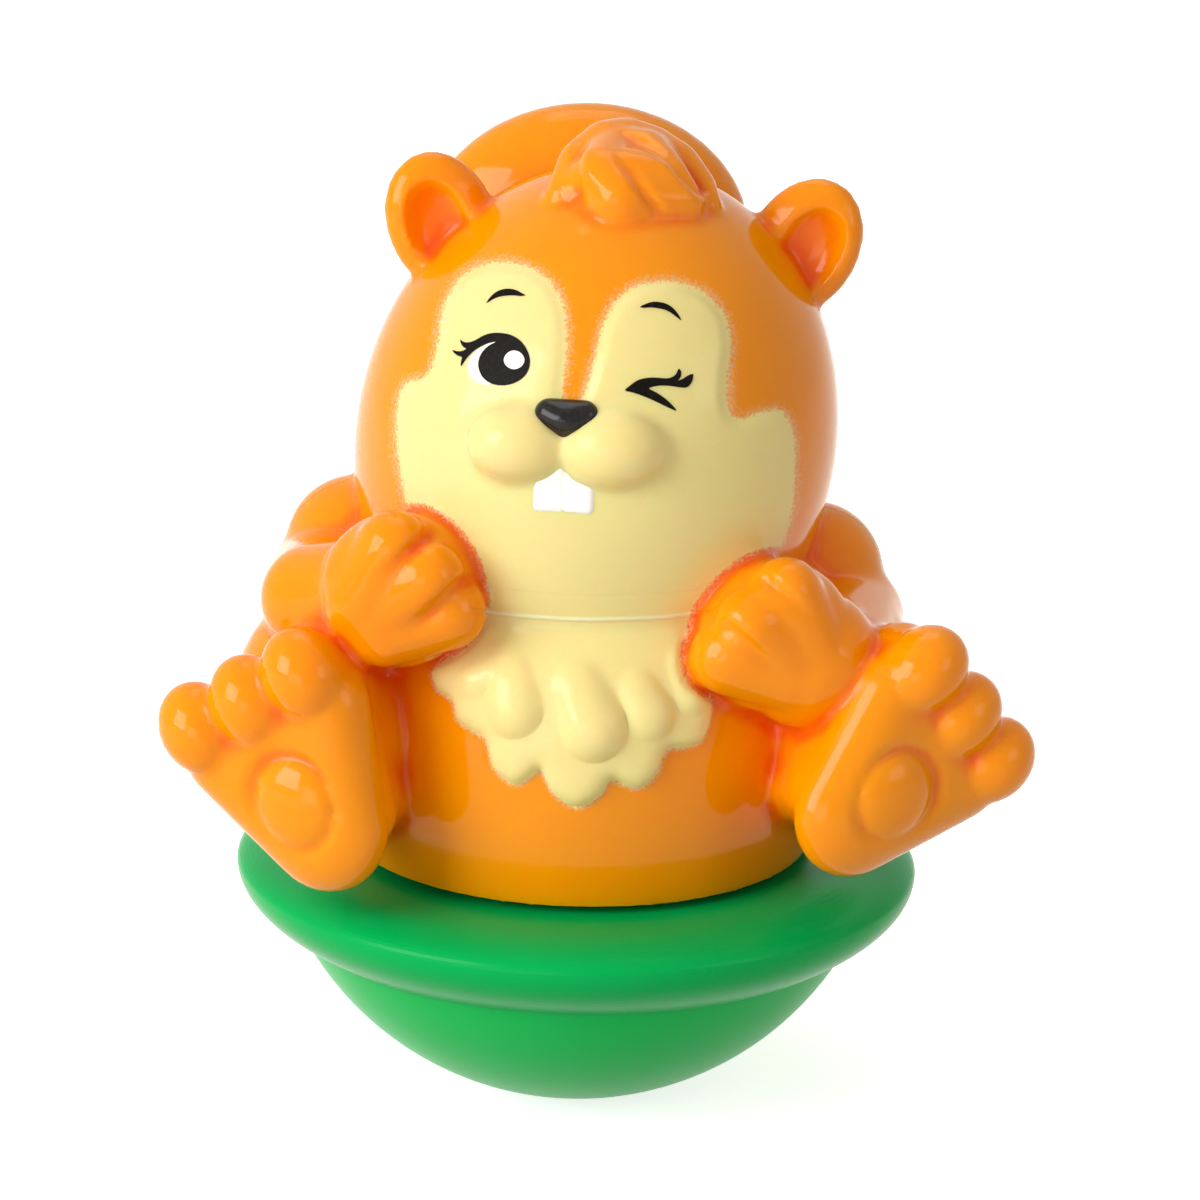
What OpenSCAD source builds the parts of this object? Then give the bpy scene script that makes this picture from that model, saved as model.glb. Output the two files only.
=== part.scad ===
// Squirrel roly poly toy: a weighted round base, a turning two-shell figure and a chime inside it.
// Frame: +Z up, the squirrel's feet face -Y, the origin is the middle of the flat it rests on.

/* [Base] */
// Radius of the round underside that the toy rocks on
rocker_r = 37; // [34:0.5:42]
// Radius of the small flat at the bottom that the toy comes to rest on
rest_r = 5; // [3:0.5:7]
// Height of the seam between bowl and rim
seam_z = 20.5; // [18:0.5:23]
// Wall of the bowl and of the rim
base_wall = 2.4; // [1.8:0.1:3]
// Radius of the rim at its widest edge
rim_r = 40.2; // [38:0.2:46]
// Height of the rim's widest edge above the seam
rim_rise = 7.1; // [6.2:0.1:9]
// Height of the rim's deck above its widest edge
deck_rise = 2.6; // [2:0.1:3.2]
// Width of the rounded shoulder between the deck and the widest edge
shoulder_w = 7; // [5:0.2:8]
// Overhang of the rim past the bowl at the seam
seam_step = 0.4; // [0.2:0.1:0.8]
// Depth of the rim's ring that locates inside the bowl
spigot_h = 2.6; // [2:0.1:3.2]

/* [Ballast] */
// Height of the flat top of the cast weight
ballast_top = 19; // [15:0.5:19.5]
// Radius of the circle that the weight's three screws stand on
ballast_ring_r = 11; // [10:0.5:12]
// Radius of the pillars that carry screws in the bowl
pillar_r = 3; // [2.6:0.1:3.4]

/* [Swivel] */
// Radius of the post that the figure turns on
hub_r = 9; // [8.5:0.1:10]
// Wall of the hollow post
hub_wall = 2; // [1.6:0.1:2.4]
// Running gap between the figure and what it turns on
swivel_gap = 0.35; // [0.2:0.05:0.5]
// Width of the ring on the deck that the figure's floor slides on
thrust_w = 3; // [2:0.5:4]

/* [Figure] */
// Gap between the rim's deck and the figure's underside
figure_gap = 1; // [0.8:0.1:1.8]
// Wall of the two moulded shells
shell_wall = 2; // [1.6:0.1:2.4]
// Thickness of the figure's floor
floor_t = 2.4; // [2:0.1:3]
// Radius of the body at its fullest
body_r = 28.8; // [27:0.2:31]
// Height of the body from its underside to the neck crease
body_h = 33.2; // [31:0.2:36]
// Distance of the neck crease inside the body's fullest radius
neck_in = 4.8; // [3.8:0.2:5.8]
// Radius of the rounded lower edge of the body
body_edge_r = 2.6; // [2:0.2:4]
// Depth of the parting plane of the shells behind the axis
part_y = 3.6; // [3.4:0.1:4]

/* [Head] */
// Half width of the head
head_w = 27.8; // [26.5:0.1:29]
// Half depth of the head
head_d = 28; // [27:0.1:29.5]
// Half height of the head
head_h = 32.5; // [31.5:0.1:34]
// Height of the head's centre above the neck crease
head_rise = 14.8; // [14:0.1:16]
// Lean of the head towards +X, in degrees
head_lean = 13; // [8:1:16]
// Turn of the face towards -X, in degrees
face_turn = 11; // [6:1:14]
// Half width of an ear
ear_w = 6.4; // [5.5:0.1:7]
// Half height of an ear
ear_h = 8.4; // [7.5:0.1:9]
// Half thickness of an ear
ear_t = 3.2; // [2.8:0.1:3.4]
// Radius of the thickest strand of the hair tuft
strand_r = 5; // [4.4:0.1:5.6]
// Half width of a muzzle lobe
muzzle_w = 6; // [5.4:0.1:6.6]
// Half width of the nose
nose_w = 3.7; // [3.2:0.1:4.2]
// Width of one front tooth
tooth_w = 3.6; // [3:0.1:4]
// Height of the front teeth
tooth_h = 5.6; // [5:0.1:6.5]

/* [Limbs] */
// Radius of the upper arms
arm_r = 7.6; // [7:0.1:8.4]
// Radius of the wrists
wrist_r = 6.2; // [5.6:0.1:6.8]
// Half height of a closed hand
fist_r = 9; // [8.4:0.1:9.6]
// Radius of the fingers
finger_r = 4.8; // [4.4:0.1:5.2]
// Radius of the thighs
thigh_r = 13.4; // [12.6:0.1:14]
// Length of a foot from the heel to the line of its toes
foot_l = 25; // [23:0.5:27]
// Width of a foot across the ball
foot_w = 24.5; // [23:0.5:26]
// Thickness of a foot
foot_t = 9.2; // [8.4:0.1:10]
// Radius of the heel in the plane of the sole
heel_r = 7.4; // [6.6:0.1:8]
// Radius of the toes
toe_r = 4.6; // [4.2:0.1:5]
// Half width of the pad on the sole
pad_w = 4.7; // [4:0.1:5.2]

/* [Tail] */
// Half width of the tail at its broad top
tail_w = 19.4; // [18:0.2:20]
// Half thickness of the tail
tail_t = 9; // [8:0.1:9.6]
// Half height of the tail's round top
tail_top_h = 16; // [15:0.5:17]

/* [Chime] */
// Length of the hammer from its pin to the middle of its head
hammer_l = 22; // [20:0.5:24]
// Radius of the hammer's head
hammer_r = 4.6; // [4:0.1:5]
// Swing of the hammer to each side, in degrees
hammer_swing = 14; // [10:1:15]
// Height of the hammer's pin above the chime's disc
pivot_rise = 33; // [31:0.5:36]
// Radius of the hammer's pin
pin_r = 1; // [0.8:0.05:1.2]
// Radius of the chime rods
rod_r = 1.2; // [1:0.05:1.4]
// Standing length of the longer chime rod
rod_l = 28; // [24:0.5:30]
// Thickness of the chime's disc and uprights
frame_t = 2.2; // [1.8:0.1:2.6]

/* [Screws] */
// Radius of a screw's shank
screw_r = 1.25; // [1.1:0.05:1.4]
// Radius of a screw's head
screw_head_r = 2.5; // [2.3:0.05:2.7]
// Height of a screw's head
screw_head_h = 1.8; // [1.5:0.1:2.2]
// Length of a screw's shank
screw_l = 9; // [8:0.5:10]

/* [Hidden] */

// Facets of large, middle and small rounds of the moulded shells
fine = 36;
mid = 18;
small = 14;

// Clearances: round a screw's shank, round its head, between seated mouldings, in the hammer's bore
screw_gap = 0.15;
head_gap = 0.3;
seat_gap = 0.1;
bore_gap = 0.05;
// Distance that cuts run past the solid they cut, and half the side of the blocks that split the shells
overrun = 0.5;
beyond = 2 * rim_r;

// Base, worked out from the rocker's sphere
rocker_z = sqrt(rocker_r * rocker_r - rest_r * rest_r);
bowl_in_r = rocker_r - base_wall;
seam_r = sqrt(pow(rocker_r, 2) - pow(rocker_z - seam_z, 2));
rim_z = seam_z + rim_rise;
deck_z = rim_z + deck_rise;
deck_under = deck_z - base_wall;
spigot_r = sqrt(pow(bowl_in_r, 2) - pow(rocker_z - seam_z + spigot_h, 2)) - seat_gap;

// Neck radius, figure heights and the head's centre, which lies a share of its half width off the axis
neck_r = body_r - neck_in;
figure_z = deck_z + figure_gap;
neck_z = figure_z + body_h;
head_off_share = 0.035;
head_at = [head_off_share * head_w, 0, neck_z + head_rise];

// Screw stacks: pillars in the bowl, wells in the rim, wells in the rear shell
rim_ring_r = 21;
rim_well_floor = 3;
well_r = screw_head_r + head_gap;
well_wall = 1.4;
boss_r = well_r + well_wall;
shell_well_floor = 2.2;
screw_count = 3;

// Swivel and chime heights
collar_z = figure_z + floor_t + swivel_gap;
collar_top = collar_z + frame_t;
pivot_z = collar_top + pivot_rise;
eye_r = 3;
// The hammer's eye is as long as its head is wide, so the head swings clear between the uprights
eye_l = 2 * hammer_r;
stalk_r = 1.6;
upright_y = eye_l / 2 + 2 * swivel_gap;
socket_r = 2.4;
socket_h = 3;
socket_margin = 0.6;
short_rod_share = 0.85;
chime_screw_r = hub_r - hub_wall - screw_r;
// The rods stand where the hammer just misses them, and clear of the disc's screw heads
rod_x = max(
    hammer_l * sin(hammer_swing) + hammer_r + rod_r + swivel_gap,
    chime_screw_r + screw_head_r + head_gap + socket_r
);
collar_r = rod_x + socket_r + socket_margin;

// Body outline: an ellipse's arc, fullest at this share of the height, with a rounded lower edge
belly_share = 0.36;
belly_z = figure_z + belly_share * body_h;
belly_k = (1 - belly_share) * body_h / sqrt(1 - pow(neck_r / body_r, 2));
body_steps = 12;

// Unit direction from a turn towards +X and a rise above level
function toward(turn, rise) = [sin(turn) * cos(rise), -cos(turn) * cos(rise), sin(rise)];

// Distance from the head's centre to its surface in a direction
function lean_back(d) = [
    d[0] * cos(head_lean) - d[2] * sin(head_lean), d[1], d[0] * sin(head_lean) + d[2] * cos(head_lean)
];
function head_reach(d) =
    let (u = lean_back(d)) 1 / norm([u[0] / head_w, u[1] / head_d, u[2] / head_h]);

// Point on the head, or at a share of its radius, in a direction
function on_head(turn, rise, share = 1) =
    let (d = toward(turn, rise)) head_at + share * head_reach(d) * d;

// Radius of the body at a height
function edge_cut(z) = body_edge_r - sqrt(max(0, pow(body_edge_r, 2) - pow(body_edge_r - z + figure_z, 2)));
function body_reach(z) =
    body_r * sqrt(max(0, 1 - pow((z - belly_z) / belly_k, 2))) - (z < figure_z + body_edge_r ? edge_cut(z) : 0);

// Point placed by shares of the body's radius across and in depth, and of its height
function on_body(shares) = [shares[0] * body_r, shares[1] * body_r, figure_z + shares[2] * body_h];

// Point on the body's outline at a turn towards +X and a share of its height, sunk by a depth
function on_skin(turn, share, sunk) =
    let (z = figure_z + share * body_h, r = body_reach(z) - sunk) [r * sin(turn), -r * cos(turn), z];

// Ellipsoid with the given half sizes
module egg(at, half, facets) {
    translate(at)
        scale(half)
            sphere(1, $fn = facets);
}

// Limb that tapers from one round end to the other
module limb(a, a_r, b, b_r, facets) {
    hull() {
        translate(a)
            sphere(a_r, $fn = facets);
        translate(b)
            sphere(b_r, $fn = facets);
    }
}

// Screw with its head's underside at z = 0 and its shank below
module screw() {
    cylinder(h = screw_head_h, r = screw_head_r, $fn = 40);
    translate([0, 0, -screw_l])
        cylinder(h = screw_l, r = screw_r, $fn = 40);
}

// Copies on a circle round the axis, the first one turned from +X by an angle
module ring_of(count, r, first = 0) {
    for (i = [0:count - 1])
        rotate([0, 0, first + 360 * i / count])
            translate([r, 0, 0])
                children();
}

// Base

// Round-bottomed bowl with pillars for the weight's and the rim's screws
module base_bowl() {
    color([0.16, 0.70, 0.35])
        difference() {
            union() {
                difference() {
                    translate([0, 0, rocker_z])
                        sphere(rocker_r, $fn = 128);
                    translate([0, 0, rocker_z])
                        sphere(bowl_in_r, $fn = 128);
                }
                intersection() {
                    translate([0, 0, rocker_z])
                        sphere(bowl_in_r + base_wall / 2, $fn = 128);
                    union() {
                        ring_of(screw_count, ballast_ring_r)
                            cylinder(h = ballast_top - seat_gap, r = pillar_r, $fn = 48);
                        ring_of(screw_count, rim_ring_r, 180 / screw_count)
                            cylinder(h = seam_z - seat_gap, r = pillar_r, $fn = 48);
                    }
                }
            }
            translate([0, 0, seam_z])
                cylinder(h = 2 * rocker_r, r = beyond);
            translate([0, 0, -beyond])
                cylinder(h = beyond, r = beyond);
            ring_of(screw_count, ballast_ring_r)
                translate([0, 0, ballast_top - screw_l])
                    cylinder(h = screw_l + overrun, r = screw_r + screw_gap, $fn = 32);
            ring_of(screw_count, rim_ring_r, 180 / screw_count)
                translate([0, 0, seam_z + rim_well_floor - screw_l - overrun])
                    cylinder(h = screw_l, r = screw_r + screw_gap, $fn = 32);
        }
}

// Cast weight that fills the bowl, with holes for the pillars
module ballast_weight() {
    color([0.33, 0.33, 0.35])
        difference() {
            intersection() {
                translate([0, 0, rocker_z])
                    sphere(bowl_in_r - seat_gap, $fn = 128);
                cylinder(h = ballast_top, r = spigot_r - base_wall - head_gap, $fn = 96);
            }
            ring_of(screw_count, ballast_ring_r)
                cylinder(h = ballast_top + overrun, r = pillar_r + head_gap, $fn = 48);
            ring_of(screw_count, rim_ring_r, 180 / screw_count)
                cylinder(h = ballast_top + overrun, r = pillar_r + head_gap, $fn = 48);
        }
}

// Screws with wide flanged heads that clamp the weight down on the bowl
module ballast_screws() {
    color([0.75, 0.76, 0.78])
        ring_of(screw_count, ballast_ring_r)
            translate([0, 0, ballast_top]) {
                cylinder(h = screw_head_h / 2, r = pillar_r + 3 * head_gap, $fn = 48);
                translate([0, 0, screw_head_h / 2])
                    cylinder(h = screw_head_h / 2, r = screw_head_r, $fn = 48);
                translate([0, 0, -screw_l + overrun])
                    cylinder(h = screw_l - overrun, r = screw_r, $fn = 40);
            }
}

// Outline of the rim from its lip at the seam up the swelling flank to the widest edge, then over the shoulder
lip_r = seam_r + seam_step;
rim_steps = 12;
rim_hollow_share = 1.5;
rim_outline = concat(
    [for (i = [rim_steps:-1:1])
        let (u = i / rim_steps) [rim_r - (rim_r - lip_r) * u * u, rim_z - rim_rise * u]],
    [for (i = [0:rim_steps])
        let (a = 90 * i / rim_steps) [rim_r - shoulder_w * (1 - cos(a)), rim_z + deck_rise * sin(a)]]
);

// Half section of the rim: outline, deck, locating ring and hollow post
module rim_section() {
    polygon(concat(rim_outline, [
        [hub_r - hub_wall, deck_z],
        [hub_r - hub_wall, deck_under],
        [rim_r - shoulder_w, deck_under],
        [rim_r - rim_hollow_share * base_wall, rim_z - base_wall / 2],
        [seam_r - base_wall, seam_z]
    ]));
    polygon([
        [spigot_r - base_wall, seam_z - spigot_h],
        [spigot_r, seam_z - spigot_h],
        [spigot_r, seam_z],
        [seam_r, seam_z],
        [seam_r, seam_z + base_wall],
        [spigot_r - base_wall, seam_z + base_wall / 2]
    ]);
    translate([hub_r, deck_z])
        square([thrust_w, figure_gap - swivel_gap]);
    translate([hub_r - hub_wall, deck_under])
        square([hub_wall, collar_z - deck_under]);
}

// Green rim: saucer-shaped cover of the bowl, with the post that the figure turns on
module base_rim() {
    color([0.05, 0.62, 0.29])
        difference() {
            union() {
                rotate_extrude($fn = 128)
                    rim_section();
                ring_of(screw_count, rim_ring_r, 180 / screw_count)
                    translate([0, 0, seam_z])
                        cylinder(h = deck_z - seam_z, r = boss_r, $fn = 48);
                ring_of(2, chime_screw_r)
                    translate([0, 0, deck_under])
                        cylinder(h = collar_z - deck_under, r = screw_r + screw_gap + well_wall, $fn = 40);
            }
            ring_of(screw_count, rim_ring_r, 180 / screw_count) {
                translate([0, 0, seam_z + rim_well_floor])
                    cylinder(h = deck_z - seam_z, r = well_r, $fn = 48);
                translate([0, 0, seam_z - overrun])
                    cylinder(h = deck_z - seam_z, r = screw_r + screw_gap, $fn = 32);
            }
            ring_of(2, chime_screw_r)
                translate([0, 0, deck_under - overrun])
                    cylinder(h = collar_z, r = screw_r + screw_gap, $fn = 32);
        }
}

// Screws that draw the rim down on the bowl
module rim_screws() {
    color([0.75, 0.76, 0.78])
        ring_of(screw_count, rim_ring_r, 180 / screw_count)
            translate([0, 0, seam_z + rim_well_floor])
                screw();
}

// Chime

// One upright of the chime's frame with a round eye at its top, standing at a depth
upright_share = 0.8;

module upright(y) {
    half_w = upright_share * eye_r;
    translate([0, y + frame_t / 2, 0])
        rotate([90, 0, 0])
            linear_extrude(frame_t) {
                translate([0, pivot_z])
                    circle(eye_r, $fn = 48);
                translate([-half_w, collar_z])
                    square([2 * half_w, pivot_z - collar_z]);
            }
}

// Disc that traps the figure's floor on the post, with uprights for the pin and sockets for the rods
module chime_frame() {
    color([0.93, 0.93, 0.90])
        difference() {
            union() {
                translate([0, 0, collar_z])
                    cylinder(h = frame_t, r = collar_r, $fn = 96);
                for (side = [-1, 1]) {
                    upright(side * (upright_y + frame_t / 2));
                    translate([side * rod_x, 0, collar_top])
                        cylinder(h = socket_h, r = socket_r, $fn = 40);
                }
            }
            for (side = [-1, 1])
                translate([side * rod_x, 0, collar_top])
                    cylinder(h = socket_h + overrun, r = rod_r, $fn = 40);
            translate([0, beyond / 2, pivot_z])
                rotate([90, 0, 0])
                    cylinder(h = beyond, r = pin_r, $fn = 40);
            ring_of(2, chime_screw_r)
                translate([0, 0, collar_z - overrun])
                    cylinder(h = frame_t + 2 * overrun, r = screw_r + screw_gap, $fn = 32);
        }
}

// Two steel rods of different lengths, for two notes
module chime_rods() {
    color([0.78, 0.79, 0.81])
        for (side = [-1, 1])
            translate([side * rod_x, 0, collar_top])
                cylinder(h = side < 0 ? rod_l : short_rod_share * rod_l, r = rod_r, $fn = 40);
}

// Screws that hold the chime's disc down on the post
module chime_screws() {
    color([0.75, 0.76, 0.78])
        ring_of(2, chime_screw_r)
            translate([0, 0, collar_top])
                screw();
}

// Pin that the hammer hangs on, pressed into the uprights
module hammer_pin() {
    color([0.78, 0.79, 0.81])
        translate([0, upright_y + frame_t, pivot_z])
            rotate([90, 0, 0])
                cylinder(h = 2 * (upright_y + frame_t), r = pin_r, $fn = 40);
}

// Hammer's arm: an eye on the pin and a round stalk
module hammer_arm() {
    color([0.93, 0.93, 0.90])
        difference() {
            union() {
                translate([0, eye_l / 2, pivot_z])
                    rotate([90, 0, 0])
                        cylinder(h = eye_l, r = eye_r, $fn = 48);
                translate([0, 0, pivot_z - hammer_l])
                    cylinder(h = hammer_l, r = stalk_r, $fn = 40);
            }
            translate([0, eye_l / 2 + overrun, pivot_z])
                rotate([90, 0, 0])
                    cylinder(h = eye_l + 2 * overrun, r = pin_r + bore_gap, $fn = 40);
        }
}

// Brass ball pressed on the stalk's end
module hammer_head() {
    color([0.80, 0.66, 0.30])
        difference() {
            translate([0, 0, pivot_z - hammer_l])
                sphere(hammer_r, $fn = 64);
            translate([0, 0, pivot_z - hammer_l])
                cylinder(h = hammer_r + overrun, r = stalk_r + bore_gap, $fn = 40);
        }
}

// Figure: forms shared by the outside and, drawn smaller by an inset, by the hollow

// Places of the limbs as shares of the body's radius and height, for the -X and the +X side
shoulder_shares = [[-0.72, 0.22, 1.08], [0.74, 0.22, 1.03]];
elbow_shares = [[-1.03, 0.12, 0.86], [1.07, 0.12, 0.75]];
wrist_shares = [[-1.10, -0.50, 0.98], [1.00, -0.53, 0.79]];
fist_shares = [[-0.80, -0.76, 1.08], [0.73, -0.77, 0.93]];
fist_root_shares = [[-0.48, -0.48, 0.92], [0.44, -0.48, 0.82]];
hip_shares = [[-0.95, -0.16, 0.54], [0.95, -0.16, 0.54]];
foot_shares = [[-1.11, -0.93, 0.39], [1.11, -0.93, 0.43]];
foot_turn = 28;
foot_roll = [-33, 52];
foot_tip = -4;
sides = [0, 1];
signs = [-1, 1];

module head_form(inset, facets) {
    translate(head_at)
        rotate([0, head_lean, 0])
            scale([head_w - inset, head_d - inset, head_h - inset])
                sphere(1, $fn = facets);
}

module body_form(inset, floor_inset, facets) {
    low = figure_z + floor_inset;
    high = neck_z - inset;
    rotate_extrude($fn = facets)
        polygon(concat(
            [[0, low]],
            [for (i = [0:body_steps])
                let (z = low + (high - low) * i / body_steps) [body_reach(z) - inset, z]],
            [[0, high]]
        ));
}

// The flesh inside the bend of an arm leaves no gap to the chest or the thigh
arm_flesh_share = 1;
fist_flesh_share = 0.85;

module arm_form(i, facets) {
    hull()
        for (shares = [
            shoulder_shares[i], elbow_shares[i], wrist_shares[i], fist_shares[i], fist_root_shares[i], hip_shares[i]
        ])
            translate(on_body(shares))
                sphere(arm_flesh_share * wrist_r, $fn = facets);
    limb(on_body(shoulder_shares[i]), arm_r, on_body(elbow_shares[i]), arm_r, facets);
    limb(on_body(elbow_shares[i]), arm_r, on_body(wrist_shares[i]), wrist_r, facets);
    limb(on_body(wrist_shares[i]), wrist_r, on_body(fist_shares[i]), wrist_r, facets);
    limb(on_body(fist_shares[i]), fist_flesh_share * fist_r,
         on_body(fist_root_shares[i]), fist_flesh_share * fist_r, facets);
}

function hip(i) = on_body(hip_shares[i]);

module leg_form(i, inset, facets) {
    translate(hip(i))
        sphere(thigh_r - inset, $fn = facets);
    limb(hip(i), thigh_r - 2 * inset, on_body(foot_shares[i]), foot_t / 2 - inset, facets);
}

// The flesh behind a foot, from its heel and its inner toe into the belly and the thigh
heel_root_shares = [[-0.50, -0.50, 0.26], [0.50, -0.50, 0.26]];

module heel_form(i, facets) {
    r = foot_t / 2;
    hull() {
        foot_place(i) {
            translate([-signs[i] * (heel_r - r), r / 2, heel_r - pad_share * foot_l])
                sphere(r, $fn = facets);
            translate([-signs[i] * toe_spread_share * foot_w, r / 2, toe_share * foot_l])
                sphere(r, $fn = facets);
        }
        for (at = [on_body(heel_root_shares[i]), hip(i)])
            translate(at)
                sphere(r, $fn = facets);
    }
}

// Local frame of a foot: the sole faces -Y, the toes are up, the middle of the pad is the origin
module foot_place(i) {
    translate(on_body(foot_shares[i]))
        rotate([foot_tip, 0, signs[i] * foot_turn])
            rotate([0, foot_roll[i], 0])
                children();
}

// Share of the foot's length below the middle of the pad, and of the length at which the ball lies
pad_share = 0.46;
ball_share = 0.34;
toe_share = 0.50;

module foot_form(inset, facets) {
    r = foot_t / 2 - inset;
    hull()
        for (side = signs) {
            translate([side * (heel_r - foot_t / 2), 0, heel_r - pad_share * foot_l])
                sphere(r, $fn = facets);
            translate([side * (foot_w - foot_t) / 2, 0, ball_share * foot_l])
                sphere(r, $fn = facets);
        }
}

// Tail lumps from the root to the curled tip: place as shares of the body's radius and height, then half
// width, thickness and height as shares of the tail's
tail_shares = [
    [[0, 0.78, 0.34], [0.52, 0.80, 0.55]],
    [[0, 0.95, 0.90], [0.80, 1, 0.80]],
    [[0, 0.97, 1.40], [0.94, 1.05, 1]],
    [[0.02, 0.70, 2.03], [1, 1, 1]],
    [[0.02, 1.05, 1.98], [0.66, 0.84, 0.62]]
];
tail_top = 3;
tail_dish_share = 0.74;
tail_dish_depth_share = 0.3;

module tail_lump(k, inset, facets) {
    half = tail_shares[k][1];
    egg(on_body(tail_shares[k][0]),
        [half[0] * tail_w - inset, half[1] * tail_t - inset, half[2] * tail_top_h - inset], facets);
}

module tail_form(inset, facets) {
    for (k = [0:len(tail_shares) - 2])
        hull() {
            tail_lump(k, inset, facets);
            tail_lump(k + 1, inset, facets);
        }
}

// Shallow dish in the front of the tail's round top, inside its rolled border
module tail_dish() {
    egg(on_body(tail_shares[tail_top][0]) - [0, tail_t, 0],
        [tail_dish_share * tail_w, tail_dish_depth_share * tail_t, tail_dish_share * tail_top_h], mid);
}

// Front details

// Closed hand: three fingers curled side by side over the palm
hand_shares = [0.95, 0.78, 1];
finger_step_shares = [0.38, -0.36, -0.48];
finger_off_share = 0.12;
finger_reach_shares = [0.36, -0.04, 0.19];

module hand(i) {
    at = on_body(fist_shares[i]);
    inward = -signs[i];
    egg(at, fist_r * hand_shares, small);
    for (k = [-1:1]) {
        step = [inward * (k * finger_step_shares[0] + finger_off_share), finger_step_shares[1],
                k * finger_step_shares[2]];
        reach = [inward * finger_reach_shares[0], finger_reach_shares[1], finger_reach_shares[2]];
        limb(at + fist_r * (step - reach), finger_r, at + fist_r * (step + reach), finger_r, small);
    }
}

// Foot with three toes and an oval pad in a shallow dish
toe_spread_share = 0.31;
toe_shares = [1, 1.05, 1.2];
pad_high_share = 1.1;
dish_share = 1.32;
dish_depth_share = 0.1;

module foot(i) {
    foot_place(i) {
        difference() {
            foot_form(0, mid);
            egg([0, -foot_t / 2, 0],
                [dish_share * pad_w, dish_depth_share * foot_t, dish_share * pad_high_share * pad_w], mid);
        }
        egg([0, -foot_t / 2 + dish_depth_share * foot_t, 0],
            [pad_w, 2 * dish_depth_share * foot_t, pad_high_share * pad_w], mid);
        for (k = [-1:1])
            egg([k * toe_spread_share * foot_w, -foot_t / 4, toe_share * foot_l],
                toe_r * toe_shares, small);
    }
}

// Ears as cups that open forwards: turn from the head's top, for the -X and the +X side
ear_turns = [-36, 47];
ear_out_share = 1.06;
ear_tilt_share = 0.6;
ear_cup_shares = [0.72, 0.9, 0.72];
ear_cup_rise_share = 0.1;

module ear(i) {
    d = [sin(ear_turns[i]), 0, cos(ear_turns[i])];
    translate(head_at + ear_out_share * head_reach(d) * d)
        rotate([0, ear_tilt_share * ear_turns[i], 0])
            rotate([0, 0, -signs[i] * face_turn])
                difference() {
                    egg([0, 0, 0], [ear_w, ear_t, ear_h], mid);
                    egg([0, -ear_t, ear_cup_rise_share * ear_h],
                        [ear_cup_shares[0] * ear_w, ear_cup_shares[1] * ear_t, ear_cup_shares[2] * ear_h],
                        small);
                }
}

// Hair tuft swept towards +X: a thin outer strand that curls over from the left, a full front lock and one
// between them. Each step is a place as shares of the head's height and a thickness as a share of the strand's
tuft_shares = [
    [[[-0.13, -0.27, 0.98], 0.48], [[-0.08, -0.18, 1.05], 0.66], [[0.12, -0.10, 1.06], 0.70],
     [[0.30, -0.10, 1.00], 0.60], [[0.42, -0.16, 0.91], 0.42]],
    [[[0.00, -0.20, 1.03], 0.70], [[0.06, -0.37, 0.95], 1]],
    [[[0.10, -0.16, 1.04], 0.66], [[0.22, -0.27, 1.00], 0.80], [[0.33, -0.32, 0.91], 0.66]]
];

module tuft() {
    for (strand = tuft_shares)
        for (k = [1:len(strand) - 1])
            limb(head_at + head_h * strand[k - 1][0], strand[k - 1][1] * strand_r,
                 head_at + head_h * strand[k][0], strand[k][1] * strand_r, small);
}

// Muzzle, nose and teeth on the turned face: rise of each, and half sizes as shares of the muzzle and nose
muzzle_rise = 11;
muzzle_spread = 11.5;
nose_rise = 18.5;
tooth_rise = 8;
muzzle_shares = [1, 0.8, 0.84];
nose_shares = [1, 0.75, 0.74];
muzzle_sunk_share = 0.93;
nose_out_share = 1.02;
tooth_out_share = 0.98;
tooth_edge_r = 0.9;

module tooth(side) {
    hull()
        for (x = [tooth_edge_r, tooth_w - tooth_edge_r])
            for (z = [tooth_edge_r - tooth_h, 0])
                translate([side * x, 0, z])
                    sphere(tooth_edge_r, $fn = small);
}

module face() {
    for (side = signs)
        egg(on_head(-face_turn + side * muzzle_spread, muzzle_rise, muzzle_sunk_share),
            muzzle_w * muzzle_shares, mid);
    egg(on_head(-face_turn, nose_rise, nose_out_share), nose_w * nose_shares, mid);
    translate(on_head(-face_turn, tooth_rise, tooth_out_share))
        rotate([0, 0, -face_turn])
            for (side = signs)
                tooth(side);
}

// Chest ruff: turn of each lock, height of its tip as a share of the body's height, and its radius
lower_lock_shares = [[-40, 0.80], [-30, 0.64], [-19, 0.48], [-4, 0.43], [10, 0.49], [22, 0.61], [30, 0.74]];
upper_lock_shares = [[-25, 0.72, 0.55], [-17, 0.65, 0.8], [0, 0.62, 1.05], [13, 0.66, 0.7], [22, 0.72, 0.5]];
lock_r = 3.5;
lower_proud = 0.9;
upper_proud = 2.1;
lock_run_share = 0.28;
lock_root_r_share = 0.75;
lock_sunk_share = 1.15;
lock_gather_share = 0.92;

module lock(turn, share, r, proud) {
    root_r = lock_root_r_share * r;
    limb(on_skin(turn, share, r - proud), r,
         on_skin(lock_gather_share * turn, share + lock_run_share, lock_sunk_share * root_r), root_r, small);
}

module ruff() {
    for (s = lower_lock_shares)
        lock(s[0], s[1], lock_r, lower_proud);
    for (s = upper_lock_shares)
        lock(s[0], s[1], s[2] * lock_r, upper_proud);
}

// Places of the four screws that close the shells, two in the body and two in the head: their bosses lean on
// the wall beside them, and the low two on the floor too
boss_seat = 1.2;
boss_sunk = shell_wall + boss_r - boss_seat;
high_screw_rise = 16;

function shell_screw(i, high) =
    let (d = toward(90 * signs[i], high_screw_rise))
        high ? head_at + (head_reach(d) - boss_sunk) * d
             : on_skin(90 * signs[i], (floor_t + boss_r - boss_seat) / body_h, boss_sunk);

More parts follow.
